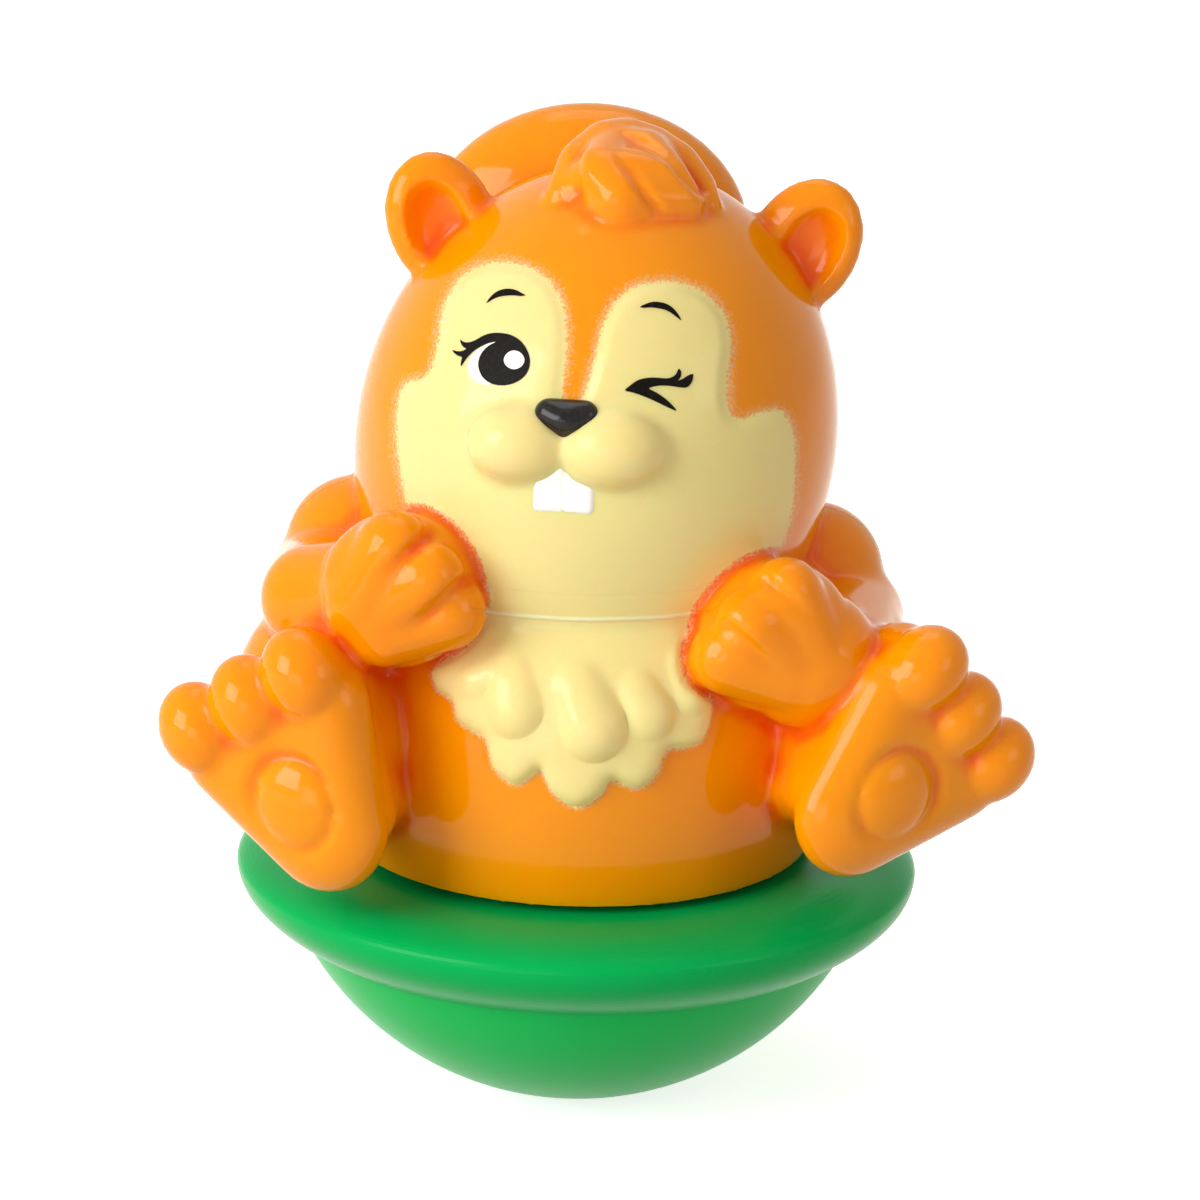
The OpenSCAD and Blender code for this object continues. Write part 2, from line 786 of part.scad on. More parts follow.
module at_shell_screws() {
    for (i = sides)
        for (high = [false, true])
            let (at = shell_screw(i, high))
                translate([at[0], part_y, at[2]])
                    children();
}

// Inside of the figure
module hollow() {
    head_form(shell_wall, mid);
    body_form(shell_wall, floor_t, mid);
    for (i = sides) {
        leg_form(i, shell_wall, small);
        foot_place(i)
            foot_form(shell_wall, small);
    }
}

// Parts of the outside that both shells share
module trunk() {
    head_form(0, fine);
    body_form(0, 0, fine);
    for (i = sides) {
        arm_form(i, mid);
        leg_form(i, 0, mid);
        heel_form(i, small);
    }
}

// Room inside the walls in which bosses may stand
module boss_room() {
    head_form(shell_wall / 2, mid);
    body_form(shell_wall / 2, floor_t / 2, mid);
}

// Bosses from the parting plane to the wall in front of it or behind it
module bosses(way) {
    intersection() {
        at_shell_screws()
            rotate([-90 * way, 0, 0])
                cylinder(h = body_r, r = boss_r, $fn = mid);
        boss_room();
    }
}

// Block that keeps what lies in front of the parting plane or behind it
module half_space(way) {
    translate([0, part_y + way * beyond, beyond])
        cube(2 * beyond, center = true);
}

// Hole in the figure's floor that turns on the post
module hub_hole() {
    translate([0, 0, figure_z - overrun])
        cylinder(h = floor_t + 2 * overrun, r = hub_r + swivel_gap, $fn = fine);
}

// Front shell: face, arms, feet, ruff and ears in one moulding
module front_shell() {
    color([1.0, 0.58, 0.10])
        difference() {
            intersection() {
                union() {
                    difference() {
                        union() {
                            trunk();
                            for (i = sides) {
                                hand(i);
                                foot(i);
                                ear(i);
                            }
                            tuft();
                            face();
                            ruff();
                        }
                        hollow();
                    }
                    bosses(-1);
                }
                half_space(-1);
            }
            hub_hole();
            at_shell_screws()
                rotate([90, 0, 0])
                    translate([0, 0, -overrun])
                        cylinder(h = screw_l, r = screw_r + screw_gap, $fn = small);
        }
}

// Rear shell: back, back of the head and tail, with wells for the screws
module rear_shell() {
    color([0.98, 0.55, 0.10])
        difference() {
            intersection() {
                union() {
                    difference() {
                        union() {
                            trunk();
                            difference() {
                                tail_form(0, mid);
                                tail_dish();
                            }
                        }
                        hollow();
                        tail_form(shell_wall, small);
                    }
                    bosses(1);
                }
                half_space(1);
            }
            hub_hole();
            at_shell_screws()
                rotate([-90, 0, 0]) {
                    translate([0, 0, shell_well_floor])
                        cylinder(h = body_r, r = well_r, $fn = mid);
                    translate([0, 0, -overrun])
                        cylinder(h = body_r, r = screw_r + screw_gap, $fn = small);
                }
        }
}

// Screws that close the two shells, deep in their wells
module shell_screws() {
    color([0.75, 0.76, 0.78])
        at_shell_screws()
            rotate([-90, 0, 0])
                translate([0, 0, shell_well_floor])
                    screw();
}

base_bowl();
base_rim();
ballast_weight();
ballast_screws();
rim_screws();
chime_frame();
chime_rods();
chime_screws();
hammer_pin();
hammer_arm();
hammer_head();
front_shell();
rear_shell();
shell_screws();
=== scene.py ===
"""Squirrel roly poly toy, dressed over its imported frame.

The base, the weight and the chime stay the frame's own solids and get finishes here. The two moulded
shells of the squirrel are modelled again as smooth mouldings that stand where the frame's shells stand.
Lengths are in millimetres until a mesh is made, and in metres from there on.
"""
import logging
import math
from dataclasses import dataclass, field
from enum import Enum

import bpy
import numpy as np
from mathutils import Euler, Matrix, Vector
from mathutils.bvhtree import BVHTree


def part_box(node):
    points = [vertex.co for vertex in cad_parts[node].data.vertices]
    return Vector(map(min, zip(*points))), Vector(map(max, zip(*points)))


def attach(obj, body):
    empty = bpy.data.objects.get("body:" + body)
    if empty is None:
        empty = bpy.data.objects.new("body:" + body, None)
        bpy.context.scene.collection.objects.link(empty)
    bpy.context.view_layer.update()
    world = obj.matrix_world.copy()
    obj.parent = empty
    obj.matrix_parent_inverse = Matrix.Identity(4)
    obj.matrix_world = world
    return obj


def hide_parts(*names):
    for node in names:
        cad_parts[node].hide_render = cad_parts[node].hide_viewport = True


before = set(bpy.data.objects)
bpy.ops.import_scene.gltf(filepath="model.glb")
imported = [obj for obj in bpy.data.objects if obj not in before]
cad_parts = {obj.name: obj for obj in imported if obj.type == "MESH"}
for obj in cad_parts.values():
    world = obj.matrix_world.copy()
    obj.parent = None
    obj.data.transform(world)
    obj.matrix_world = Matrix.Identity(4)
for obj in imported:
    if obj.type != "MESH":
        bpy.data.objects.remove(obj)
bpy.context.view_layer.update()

LOG = logging.getLogger("squirrel")
MM = 0.001
PHOTO_SIDE = 1200
PLASTIC_IOR = 1.5
FAR = 9.0
FOLD_LIMIT = 0.08

Pair = tuple[float, float]
Triple = tuple[float, float, float]
Pixel = tuple[float, float]
Outline = tuple[Pixel, ...]
Lump = tuple[Pixel, float, float]
Lock = tuple[Pixel, float, Pixel, float]
Socket = bpy.types.NodeSocket


class Side(Enum):
    """Side of the figure as its face is seen."""

    LEFT = -1
    RIGHT = 1


class Half(Enum):
    """Half of the figure on either side of the parting plane."""

    FRONT = -1
    REAR = 1


class Solver(Enum):
    """Boolean operations that the shells need."""

    CUT = "DIFFERENCE"
    KEEP = "INTERSECT"


# Finishes


def linear(code: str) -> tuple[float, float, float, float]:
    """Turn an sRGB hex colour into linear values.

    Args:
        code: six hex digits after a hash sign.

    Returns:
        Linear red, green and blue with an alpha of one.
    """
    parts = [int(code[i:i + 2], 16) / 255 for i in (1, 3, 5)]
    red, green, blue = (c / 12.92 if c <= 0.04045 else ((c + 0.055) / 1.055) ** 2.4 for c in parts)
    return red, green, blue, 1.0


def add(tree: bpy.types.NodeTree, kind: str, inputs: dict | None = None, **settings) -> bpy.types.Node:
    """Add a node to a material with its settings and links.

    Args:
        tree: node tree that gets the node.
        kind: Blender's name of the node type.
        inputs: socket name or index to a value or to the socket that feeds it.
        settings: properties of the node itself.

    Returns:
        The new node.
    """
    node = tree.nodes.new(kind)
    for key, value in settings.items():
        setattr(node, key, value)
    for key, value in (inputs or {}).items():
        if isinstance(value, bpy.types.NodeSocket):
            tree.links.new(value, node.inputs[key])
        else:
            node.inputs[key].default_value = value
    return node


def blank(name: str) -> tuple[bpy.types.Material, bpy.types.NodeTree]:
    """Make an empty node material.

    Args:
        name: name of the material.

    Returns:
        The material and its node tree.
    """
    material = bpy.data.materials.new(name)
    material.use_nodes = True
    material.node_tree.nodes.clear()
    return material, material.node_tree


def per_metre(grain_mm: float) -> float:
    """Noise scale for a grain of a real size, on Object coordinates in metres."""
    return 1 / (grain_mm * MM)


def noise(tree: bpy.types.NodeTree, place: Socket, grain_mm: float, detail: float) -> Socket:
    """Add a cloudy pattern whose grain has a real size.

    Args:
        tree: node tree of the material.
        place: where the pattern is asked for, in metres.
        grain_mm: size of the grain.
        detail: finer layers on top of the grain.

    Returns:
        The strength of the pattern.
    """
    inputs = {"Vector": place, "Scale": per_metre(grain_mm), "Detail": detail}
    return add(tree, "ShaderNodeTexNoise", inputs).outputs["Fac"]


def blend(tree: bpy.types.NodeTree, share: Socket, first: str | Socket, second: str | Socket) -> Socket:
    """Mix two colours.

    Args:
        tree: node tree of the material.
        share: share of the second colour.
        first: a hex colour or the socket that gives one.
        second: a hex colour or the socket that gives one.

    Returns:
        The mixed colour.
    """
    sides = [linear(colour) if isinstance(colour, str) else colour for colour in (first, second)]
    return add(tree, "ShaderNodeMix", {0: share, 6: sides[0], 7: sides[1]}, data_type="RGBA").outputs[2]


def ramp(tree: bpy.types.NodeTree, value: Socket, start: Pair, end: Pair, kind: str = "LINEAR") -> Socket:
    """Carry one range of values over to another.

    Args:
        tree: node tree of the material.
        value: value that is carried over.
        start: range of the value.
        end: range that it gets.
        kind: Blender's name of the curve between the ends.

    Returns:
        The new value.
    """
    limits = {"From Min": start[0], "From Max": start[1], "To Min": end[0], "To Max": end[1]}
    return add(tree, "ShaderNodeMapRange", {"Value": value, **limits}, interpolation_type=kind).outputs[0]


def polish(tree: bpy.types.NodeTree, value: Socket, roughness: float, shares: Pair) -> Socket:
    """Let a roughness vary with a pattern, between two shares of it."""
    return ramp(tree, value, (0.0, 1.0), (shares[0] * roughness, shares[1] * roughness))


def reckon(tree: bpy.types.NodeTree, operation: str, *values: float | Socket) -> Socket:
    """Work out a sum of values or sockets by one of Blender's operations."""
    return add(tree, "ShaderNodeMath", dict(enumerate(values)), operation=operation).outputs[0]


def relief(tree: bpy.types.NodeTree, height: Socket, strength: float, depth_mm: float,
           under: Socket | None = None) -> Socket:
    """Add fine relief to a skin.

    Args:
        tree: node tree of the material.
        height: pattern that stands up.
        strength: share of the relief that shows.
        depth_mm: height of the relief.
        under: relief that lies below it, if any.

    Returns:
        The skin's new normal.
    """
    inputs = {"Height": height, "Strength": strength, "Distance": depth_mm * MM}
    if under is not None:
        inputs["Normal"] = under
    return add(tree, "ShaderNodeBump", inputs).outputs[0]


def surface(tree: bpy.types.NodeTree, inputs: dict) -> None:
    """Close a material with its surface."""
    shader = add(tree, "ShaderNodeBsdfPrincipled", inputs)
    add(tree, "ShaderNodeOutputMaterial", {"Surface": shader.outputs[0]})


@dataclass(frozen=True)
class MouldedPlastic:
    """Glossy moulded plastic: clear depth of colour, a faint flow mottle and fine orange peel.

    The light that goes in and comes out again warms its shaded side.
    """

    name: str
    colour: str
    deep: str
    roughness: float = 0.2
    polish_shares: Pair = (0.85, 1.2)
    shine: float = 0.16
    through: float = 0.2
    through_mm: float = 2.0
    through_radius: Triple = (1.0, 0.35, 0.1)
    flow_mm: float = 30.0
    flow_detail: float = 3.0
    peel_mm: float = 1.6
    peel_detail: float = 2.0
    peel_strength: float = 0.05
    peel_share: float = 0.1

    def make(self) -> bpy.types.Material:
        """Return the plastic as a material.

        Returns:
            The material.
        """
        material, tree = blank(self.name)
        place = add(tree, "ShaderNodeTexCoord").outputs["Object"]
        flow = noise(tree, place, self.flow_mm, self.flow_detail)
        peel = noise(tree, place, self.peel_mm, self.peel_detail)
        surface(tree, {
            "Base Color": blend(tree, flow, self.colour, self.deep),
            "Roughness": polish(tree, flow, self.roughness, self.polish_shares),
            "Normal": relief(tree, peel, self.peel_strength, self.peel_share * self.peel_mm),
            "IOR": PLASTIC_IOR, "Specular IOR Level": self.shine, "Subsurface Weight": self.through,
            "Subsurface Radius": self.through_radius, "Subsurface Scale": self.through_mm * MM})
        return material


@dataclass(frozen=True)
class SprayedPlastic:
    """Orange moulded plastic with cream paint sprayed through a mask.

    The paint is flat and dense inside, breaks into fine specks at its edge and leaves a pale dust
    beyond it. A fine ridge of flash crosses it at the neck, with a paler colour painted along it as a
    painted highlight. A redder colour painted into its folds is painted shade, standing in for the
    glow of light that passes through the plastic many times there. The piece's own attributes say how
    far inside the painted area a point lies, how far from the ridge, and how deep in a fold.
    """

    name: str
    colour: str = "#FB9A00"
    deep: str = "#F48C00"
    paint: str = "#EEDD98"
    dust: str = "#F0B988"
    # painted shade: a redder, darker colour painted into the folds, for light passing through the plastic
    # there
    painted_fold_shade: str = "#F25A0A"
    crease_attribute: str = "crease_mm"
    crease_mm: float = 0.03
    painted_fold_shade_share: float = 0.85
    attribute: str = "cream_mm"
    # painted highlight: a paler colour laid along the neck ridge
    line: str = "#FBF4CC"
    line_attribute: str = "neck_mm"
    line_mm: float = 0.4
    line_strength: float = 0.7
    line_height: float = 0.25
    roughness: float = 0.1
    paint_roughness: float = 0.12
    paint_strength: float = 0.25
    paint_height: float = 0.05
    edge_mm: float = 0.15
    shine: float = 0.18
    through: float = 0.5
    through_mm: float = 4.0
    through_radius: Triple = (1.0, 0.22, 0.06)
    speck_mm: float = 0.28
    speck_detail: float = 1.0
    speck_range: Pair = (0.25, 0.75)
    speck_reach: float = 0.3
    dust_reach: float = 0.9
    dust_scatter: float = 2.4
    dust_share: float = 0.75
    flow_mm: float = 35.0
    flow_detail: float = 3.0
    peel_mm: float = 1.8
    peel_detail: float = 2.0
    peel_strength: float = 0.05
    peel_share: float = 0.1

    def make(self) -> bpy.types.Material:
        """Return the sprayed plastic as a material.

        Returns:
            The material.
        """
        material, tree = blank(self.name)
        place = add(tree, "ShaderNodeTexCoord").outputs["Object"]
        inside, fold, along = (add(tree, "ShaderNodeAttribute", attribute_name=name).outputs["Fac"]
                               for name in (self.attribute, self.crease_attribute, self.line_attribute))
        flow = noise(tree, place, self.flow_mm, self.flow_detail)
        speck = noise(tree, place, self.speck_mm, self.speck_detail)
        peel = noise(tree, place, self.peel_mm, self.peel_detail)
        # painted fold shade: share of the redder colour, rising with how deep the skin lies in a fold
        sunk = ramp(tree, fold, (0.0, self.crease_mm), (0.0, self.painted_fold_shade_share), "SMOOTHSTEP")
        plastic = blend(tree, sunk, blend(tree, flow, self.colour, self.deep), self.painted_fold_shade)
        jitter = ramp(tree, speck, self.speck_range, (-self.speck_reach, self.speck_reach))
        cover = ramp(tree, reckon(tree, "ADD", inside, jitter), (-self.edge_mm, self.edge_mm), (0.0, 1.0))
        spread = reckon(tree, "MULTIPLY_ADD", jitter, self.dust_scatter, inside)
        halo = ramp(tree, spread, (-self.dust_reach, 0.0), (0.0, self.dust_share))
        skin = blend(tree, cover, blend(tree, halo, plastic, self.dust), self.paint)
        aside = reckon(tree, "ABSOLUTE", along)
        ridge = ramp(tree, aside, (0.0, self.line_mm), (1.0, 0.0), "SMOOTHSTEP")
        # painted highlight: the paler ridge colour, only where the cream paint covers
        pale = reckon(tree, "MULTIPLY", ridge, cover)
        bump = relief(tree, peel, self.peel_strength, self.peel_share * self.peel_mm)
        edge = relief(tree, cover, self.paint_strength, self.paint_height, bump)
        surface(tree, {
            "Base Color": blend(tree, pale, skin, self.line),
            "Roughness": ramp(tree, cover, (0.0, 1.0), (self.roughness, self.paint_roughness)),
            "Normal": relief(tree, ridge, self.line_strength, self.line_height, edge),
            "IOR": PLASTIC_IOR, "Specular IOR Level": self.shine, "Subsurface Weight": self.through,
            "Subsurface Radius": self.through_radius, "Subsurface Scale": self.through_mm * MM})
        return material


@dataclass(frozen=True)
class Ink:
    """Printed ink or brushed enamel: one dense colour, levelled smooth, with fine pinholes in its tone."""

    name: str
    colour: str
    pale: str
    roughness: float = 0.25
    polish_shares: Pair = (0.8, 1.25)
    shine: float = 0.25
    speck_mm: float = 0.5
    speck_detail: float = 4.0
    pinholes: Pair = (0.45, 0.8)

    def make(self) -> bpy.types.Material:
        """Return the ink as a material.

        Returns:
            The material.
        """
        material, tree = blank(self.name)
        place = add(tree, "ShaderNodeTexCoord").outputs["Object"]
        speck = noise(tree, place, self.speck_mm, self.speck_detail)
        surface(tree, {
            "Base Color": blend(tree, ramp(tree, speck, self.pinholes, (0.0, 1.0)), self.colour, self.pale),
            "Roughness": polish(tree, speck, self.roughness, self.polish_shares),
            "IOR": PLASTIC_IOR, "Specular IOR Level": self.shine})
        return material


@dataclass(frozen=True)
class Metal:
    """Bare metal with the fine, streaked roughness that its working leaves."""

    name: str
    colour: str
    worn: str
    roughness: float
    grain_mm: float
    grain_detail: float = 5.0
    polish_shares: Pair = (0.7, 1.3)
    stretch: float = 1.0
    relief: float = 0.1
    relief_share: float = 0.2

    def make(self) -> bpy.types.Material:
        """Return the metal as a material.

        Returns:
            The material.
        """
        material, tree = blank(self.name)
        place = add(tree, "ShaderNodeTexCoord").outputs["Object"]
        drawn = add(tree, "ShaderNodeMapping", {"Vector": place, "Scale": (1.0, 1.0, 1 / self.stretch)})
        grain = noise(tree, drawn.outputs[0], self.grain_mm, self.grain_detail)
        surface(tree, {
            "Base Color": blend(tree, grain, self.colour, self.worn),
            "Roughness": polish(tree, grain, self.roughness, self.polish_shares),
            "Normal": relief(tree, grain, self.relief, self.relief_share * self.grain_mm),
            "Metallic": 1.0})
        return material


# Camera


@dataclass(frozen=True)
class PhotoCamera:
    """Camera that stands where the photograph was taken, and the way from its pixels to the object."""

    elevation: float = 16.49
    azimuth: float = -4.0
    roll: float = -1.6
    distance: float = 620.0
    focal_px: float = 5294.0
    target: Triple = (1.942, -0.136, 59.54)
    sensor: float = 36.0
    near: float = 0.01

    def axes(self) -> tuple[np.ndarray, np.ndarray, np.ndarray]:
        """Return the picture's right, up and backward directions.

        Returns:
            Three unit vectors.
        """
        rise, turn, roll = (math.radians(a) for a in (self.elevation, self.azimuth, self.roll))
        back = np.array([math.sin(turn) * math.cos(rise), -math.cos(turn) * math.cos(rise), math.sin(rise)])
        level = np.array([math.cos(turn), math.sin(turn), 0.0])
        top = np.cross(back, level)
        right = level * math.cos(roll) - top * math.sin(roll)
        return right, top * math.cos(roll) + level * math.sin(roll), back

    def spot(self) -> np.ndarray:
        """Return the camera's place in millimetres."""
        return np.array(self.target) + self.axes()[2] * self.distance

    def to_pixels(self, points: np.ndarray) -> np.ndarray:
        """Project points to pixels of the photograph.

        Args:
            points: places in millimetres, one per row.

        Returns:
            Column and row of each point.
        """
        right, up, back = self.axes()
        seen = points - self.spot()
        depth = -(seen @ back)
        column = PHOTO_SIDE / 2 + self.focal_px * (seen @ right) / depth
        row = PHOTO_SIDE / 2 - self.focal_px * (seen @ up) / depth
        return np.stack([column, row], 1)

    def ray(self, pixel: Pixel) -> Vector:
        """Return the direction from the camera through a pixel.

        Args:
            pixel: column and row in the photograph.

        Returns:
            The unit direction.
        """
        right, up, back = self.axes()
        column, row = (place - PHOTO_SIDE / 2 for place in pixel)
        return Vector(-back * self.focal_px + right * column - up * row).normalized()

    def at_depth(self, pixel: Pixel, y: float) -> np.ndarray:
        """Return the place behind a pixel that lies at a depth Y, in millimetres."""
        way, spot = np.array(self.ray(pixel)), self.spot()
        return spot + way * (y - spot[1]) / way[1]

    def millimetres(self, pixels: float) -> float:
        """Return the size that a stretch of pixels has at the object."""
        return pixels * self.distance / self.focal_px

    def build(self) -> None:
        """Make the camera and use it for the scene."""
        right, up, back = self.axes()
        data = bpy.data.cameras.new("photo_camera")
        data.sensor_width = self.sensor
        data.lens = self.focal_px * self.sensor / PHOTO_SIDE
        data.clip_start = self.near
        camera = bpy.data.objects.new("photo_camera", data)
        bpy.context.collection.objects.link(camera)
        turn = Matrix((right, up, back)).transposed()
        camera.matrix_world = Matrix.Translation(Vector(self.spot() * MM)) @ turn.to_4x4()
        bpy.context.scene.camera = camera


# Forms that the mouldings are made of


@dataclass(frozen=True)
class Egg:
    """Ellipsoid with half sizes and a turn."""

    at: np.ndarray
    half: Triple
    turn: Euler = field(default_factory=Euler)

    def add(self, segments: int) -> bpy.types.Object:
        """Add the ellipsoid as a sphere at its size and place.

        Args:
            segments: facets round each ellipsoid.

        Returns:
            The new piece.
        """
        bpy.ops.mesh.primitive_uv_sphere_add(
            segments=segments, ring_count=segments // 2, radius=1.0, location=Vector(self.at) * MM,
            rotation=self.turn, scale=Vector(self.half) * MM)
        return bpy.context.active_object

    def hit(self, start: np.ndarray, way: np.ndarray) -> np.ndarray:
        """Return the place where a ray from outside first meets the ellipsoid.

        Args:
            start: where the ray starts.
            way: direction of the ray.

        Returns:
            The place.
        """
        spin = np.array(self.turn.to_matrix())
        a, b = ((v @ spin) / np.array(self.half) for v in (start - self.at, way))
        middle = a @ b / (b @ b)
        return start - way * (middle + math.sqrt(middle ** 2 - (a @ a - 1) / (b @ b)))

    def depth(self, points: np.ndarray) -> np.ndarray:
        """Return about how far points lie outside the ellipsoid, in millimetres.

        Args:
            points: places in millimetres, one per row.

        Returns:
            The distance of each point, negative inside.
        """
        local = (points - self.at) @ np.array(self.turn.to_matrix())
        half = np.array(self.half)
        near = np.linalg.norm(local / half, axis=1)
        return near * (near - 1) / np.maximum(np.linalg.norm(local / half ** 2, axis=1), 1e-9)


def ball(at: np.ndarray, radius: float) -> Egg:
    """Return a sphere as an egg."""
    return Egg(np.array(at, float), (radius, radius, radius))


@dataclass(frozen=True)
class Limb:
    """Skin drawn tight over two or more eggs."""

    eggs: tuple[Egg, ...]

    def add(self, segments: int) -> bpy.types.Object:
        """Add the eggs and wrap them in one convex skin.

        Args:
            segments: facets round each ellipsoid.

        Returns:
            The new piece.
        """
        piece = joined([egg.add(segments) for egg in self.eggs])
        bpy.ops.object.mode_set(mode="EDIT")
        bpy.ops.mesh.select_all(action="SELECT")
        bpy.ops.mesh.convex_hull()
        bpy.ops.object.mode_set(mode="OBJECT")
        return piece

    def depth(self, points: np.ndarray) -> np.ndarray:
        """Return about how far points lie outside a limb of two balls, in millimetres.

        Args:
            points: places in millimetres, one per row.

        Returns:
            The distance of each point, negative inside.
        """
        start, end = self.eggs[0], self.eggs[-1]
        way = end.at - start.at
        along = np.clip((points - start.at) @ way / (way @ way), 0, 1)
        radius = start.half[0] + along * (end.half[0] - start.half[0])
        return np.linalg.norm(points - start.at - along[:, None] * way, axis=1) - radius


Form = Egg | Limb


# Mesh work


def deselect() -> None:
    """Leave nothing selected, the frame's nodes included."""
    for piece in bpy.context.selected_objects:
        piece.select_set(False)


def pick(pieces: list[bpy.types.Object]) -> None:
    """Select pieces, the first one active.

    Args:
        pieces: pieces to select.
    """
    deselect()
    for piece in pieces:
        piece.select_set(True)
    bpy.context.view_layer.objects.active = pieces[0]


def settle(piece: bpy.types.Object) -> None:
    """Put a piece's place into its mesh, so that it sits at the origin."""
    pick([piece])
    bpy.ops.object.transform_apply(location=True, rotation=True, scale=True)


def joined(pieces: list[bpy.types.Object]) -> bpy.types.Object:
    """Join pieces into one mesh at the origin.

    Args:
        pieces: pieces to join, which become the first one.

    Returns:
        The joined piece.
    """
    pick(pieces)
    if len(pieces) > 1:
        bpy.ops.object.join()
    piece = bpy.context.active_object
    settle(piece)
    return piece


def apply(piece: bpy.types.Object, kind: str, **settings) -> None:
    """Add a modifier to a piece and apply it.

    Args:
        piece: piece to change.
        kind: Blender's name of the modifier type.
        settings: properties of the modifier.
    """
    modifier = piece.modifiers.new(kind.lower(), kind)
    for key, value in settings.items():
        setattr(modifier, key, value)
    pick([piece])
    bpy.ops.object.modifier_apply(modifier=modifier.name)


def moulded(forms: list[Form], voxel_mm: float, rounds: int, segments: int = 48) -> bpy.types.Object:
    """Melt overlapping forms into one closed skin with soft creases.

    Args:
        forms: forms to melt together.
        voxel_mm: size of the steps of the new skin.
        rounds: rounds of smoothing, which widen the creases.
        segments: facets round each form before it is melted.

    Returns:
        The closed skin.
    """
    piece = joined([form.add(segments) for form in forms])
    remelt(piece, voxel_mm, rounds)
    return piece


def remelt(piece: bpy.types.Object, voxel_mm: float, rounds: int) -> None:
    """Make a piece's skin anew in even steps and smooth it.

    Args:
        piece: piece to work on.
        voxel_mm: size of the steps of the new skin.
        rounds: rounds of smoothing.
    """
    apply(piece, "REMESH", mode="VOXEL", voxel_size=voxel_mm * MM, use_smooth_shade=True)
    if rounds:
        apply(piece, "SMOOTH", factor=0.5, iterations=rounds)


def carve(piece: bpy.types.Object, tool: bpy.types.Object, way: Solver) -> None:
    """Cut a piece with a closed tool, or keep what lies inside it, and remove the tool."""
    apply(piece, "BOOLEAN", solver="MANIFOLD", operation=way.value, object=tool)
    bpy.data.objects.remove(tool)


def places(piece: bpy.types.Object) -> np.ndarray:
    """Return a piece's vertices in millimetres, one per row.

    Args:
        piece: piece to work on.

    Returns:
        The places.
    """
    flat = np.empty(len(piece.data.vertices) * 3)
    piece.data.vertices.foreach_get("co", flat)
    return flat.reshape(-1, 3) / MM


def folds(piece: bpy.types.Object, rounds: int) -> np.ndarray:
    """Measure how deep a skin's points lie in a fold.

    Args:
        piece: piece with an even mesh.
        rounds: rounds in which the measure spreads to its neighbours.

    Returns:
        Distance of each vertex below the middle of its neighbours, in millimetres, spread.
    """
    points = places(piece)
    ends = np.empty(len(piece.data.edges) * 2, int)
    piece.data.edges.foreach_get("vertices", ends)
    first, second = ends.reshape(-1, 2).T
    normals = np.empty(len(points) * 3)
    piece.data.vertex_normals.foreach_get("vector", normals)
    count = np.maximum(np.bincount(ends, minlength=len(points)), 1)

    def around(value: np.ndarray) -> np.ndarray:
        """Return the mean of each vertex's neighbours."""
        ahead, behind = (np.bincount(a, value[b], len(points)) for a, b in ((first, second), (second, first)))
        return (ahead + behind) / count

    middle = np.stack([around(points[:, axis]) for axis in range(3)], 1)
    depth = np.einsum("ij,ij->i", middle - points, normals.reshape(-1, 3))
    depth = np.clip(depth, -FOLD_LIMIT, FOLD_LIMIT)
    for _ in range(rounds):
        depth = (depth + around(depth)) / 2
    return depth


def smooth_outline(points: Outline, steps: int) -> np.ndarray:
    """Draw a closed curve through points.

    Args:
        points: corners of the curve in order.
        steps: points on the curve from one corner to the next.

    Returns:
        Points on the curve, one per row.
    """
    ring = np.array(points, float)
    before, after, beyond = np.roll(ring, 1, 0), np.roll(ring, -1, 0), np.roll(ring, -2, 0)
    curve = []
    for t in np.arange(steps) / steps:
        bend = 2 * before - 5 * ring + 4 * after - beyond
        twist = 3 * ring - before - 3 * after + beyond
        curve.append(0.5 * (2 * ring + (after - before) * t + bend * t ** 2 + twist * t ** 3))
    return np.stack(curve, 1).reshape(-1, 2)


def eased(value: np.ndarray) -> np.ndarray:
    """Return values from zero to one with a soft start and end."""
    return value * value * (3 - 2 * value)


def from_line(points: np.ndarray, line: np.ndarray) -> np.ndarray:
    """Return how far points in the plane lie from an open line through corners.

    Args:
        points: places in the plane, one per row.
        line: corners of the line in order.

    Returns:
        The distance of each point.
    """
    nearest = np.full(len(points), np.inf)
    for a, b in zip(line, line[1:]):
        way = b - a
        along = np.clip(((points - a) @ way) / (way @ way), 0, 1)
        nearest = np.minimum(nearest, np.linalg.norm(points - a - along[:, None] * way, axis=1))
    return nearest


def inside_by(points: np.ndarray, outline: np.ndarray) -> np.ndarray:
    """Measure how far points lie inside a closed outline.

    Args:
        points: points in the plane, one per row.
        outline: corners of the outline in order.

    Returns:
        Distance to the outline, positive inside it.
    """
    nearest = np.full(len(points), np.inf)
    within = np.zeros(len(points), bool)
    for a, b in zip(outline, np.roll(outline, -1, 0)):
        way = b - a
        along = np.clip(((points - a) @ way) / max(way @ way, 1e-12), 0, 1)
        nearest = np.minimum(nearest, np.linalg.norm(points - a - along[:, None] * way, axis=1))
        crossing = (a[1] > points[:, 1]) != (b[1] > points[:, 1])
        if way[1]:
            within ^= crossing & (points[:, 0] < a[0] + (points[:, 1] - a[1]) * way[0] / way[1])
    return np.where(within, nearest, -nearest)


# Squirrel


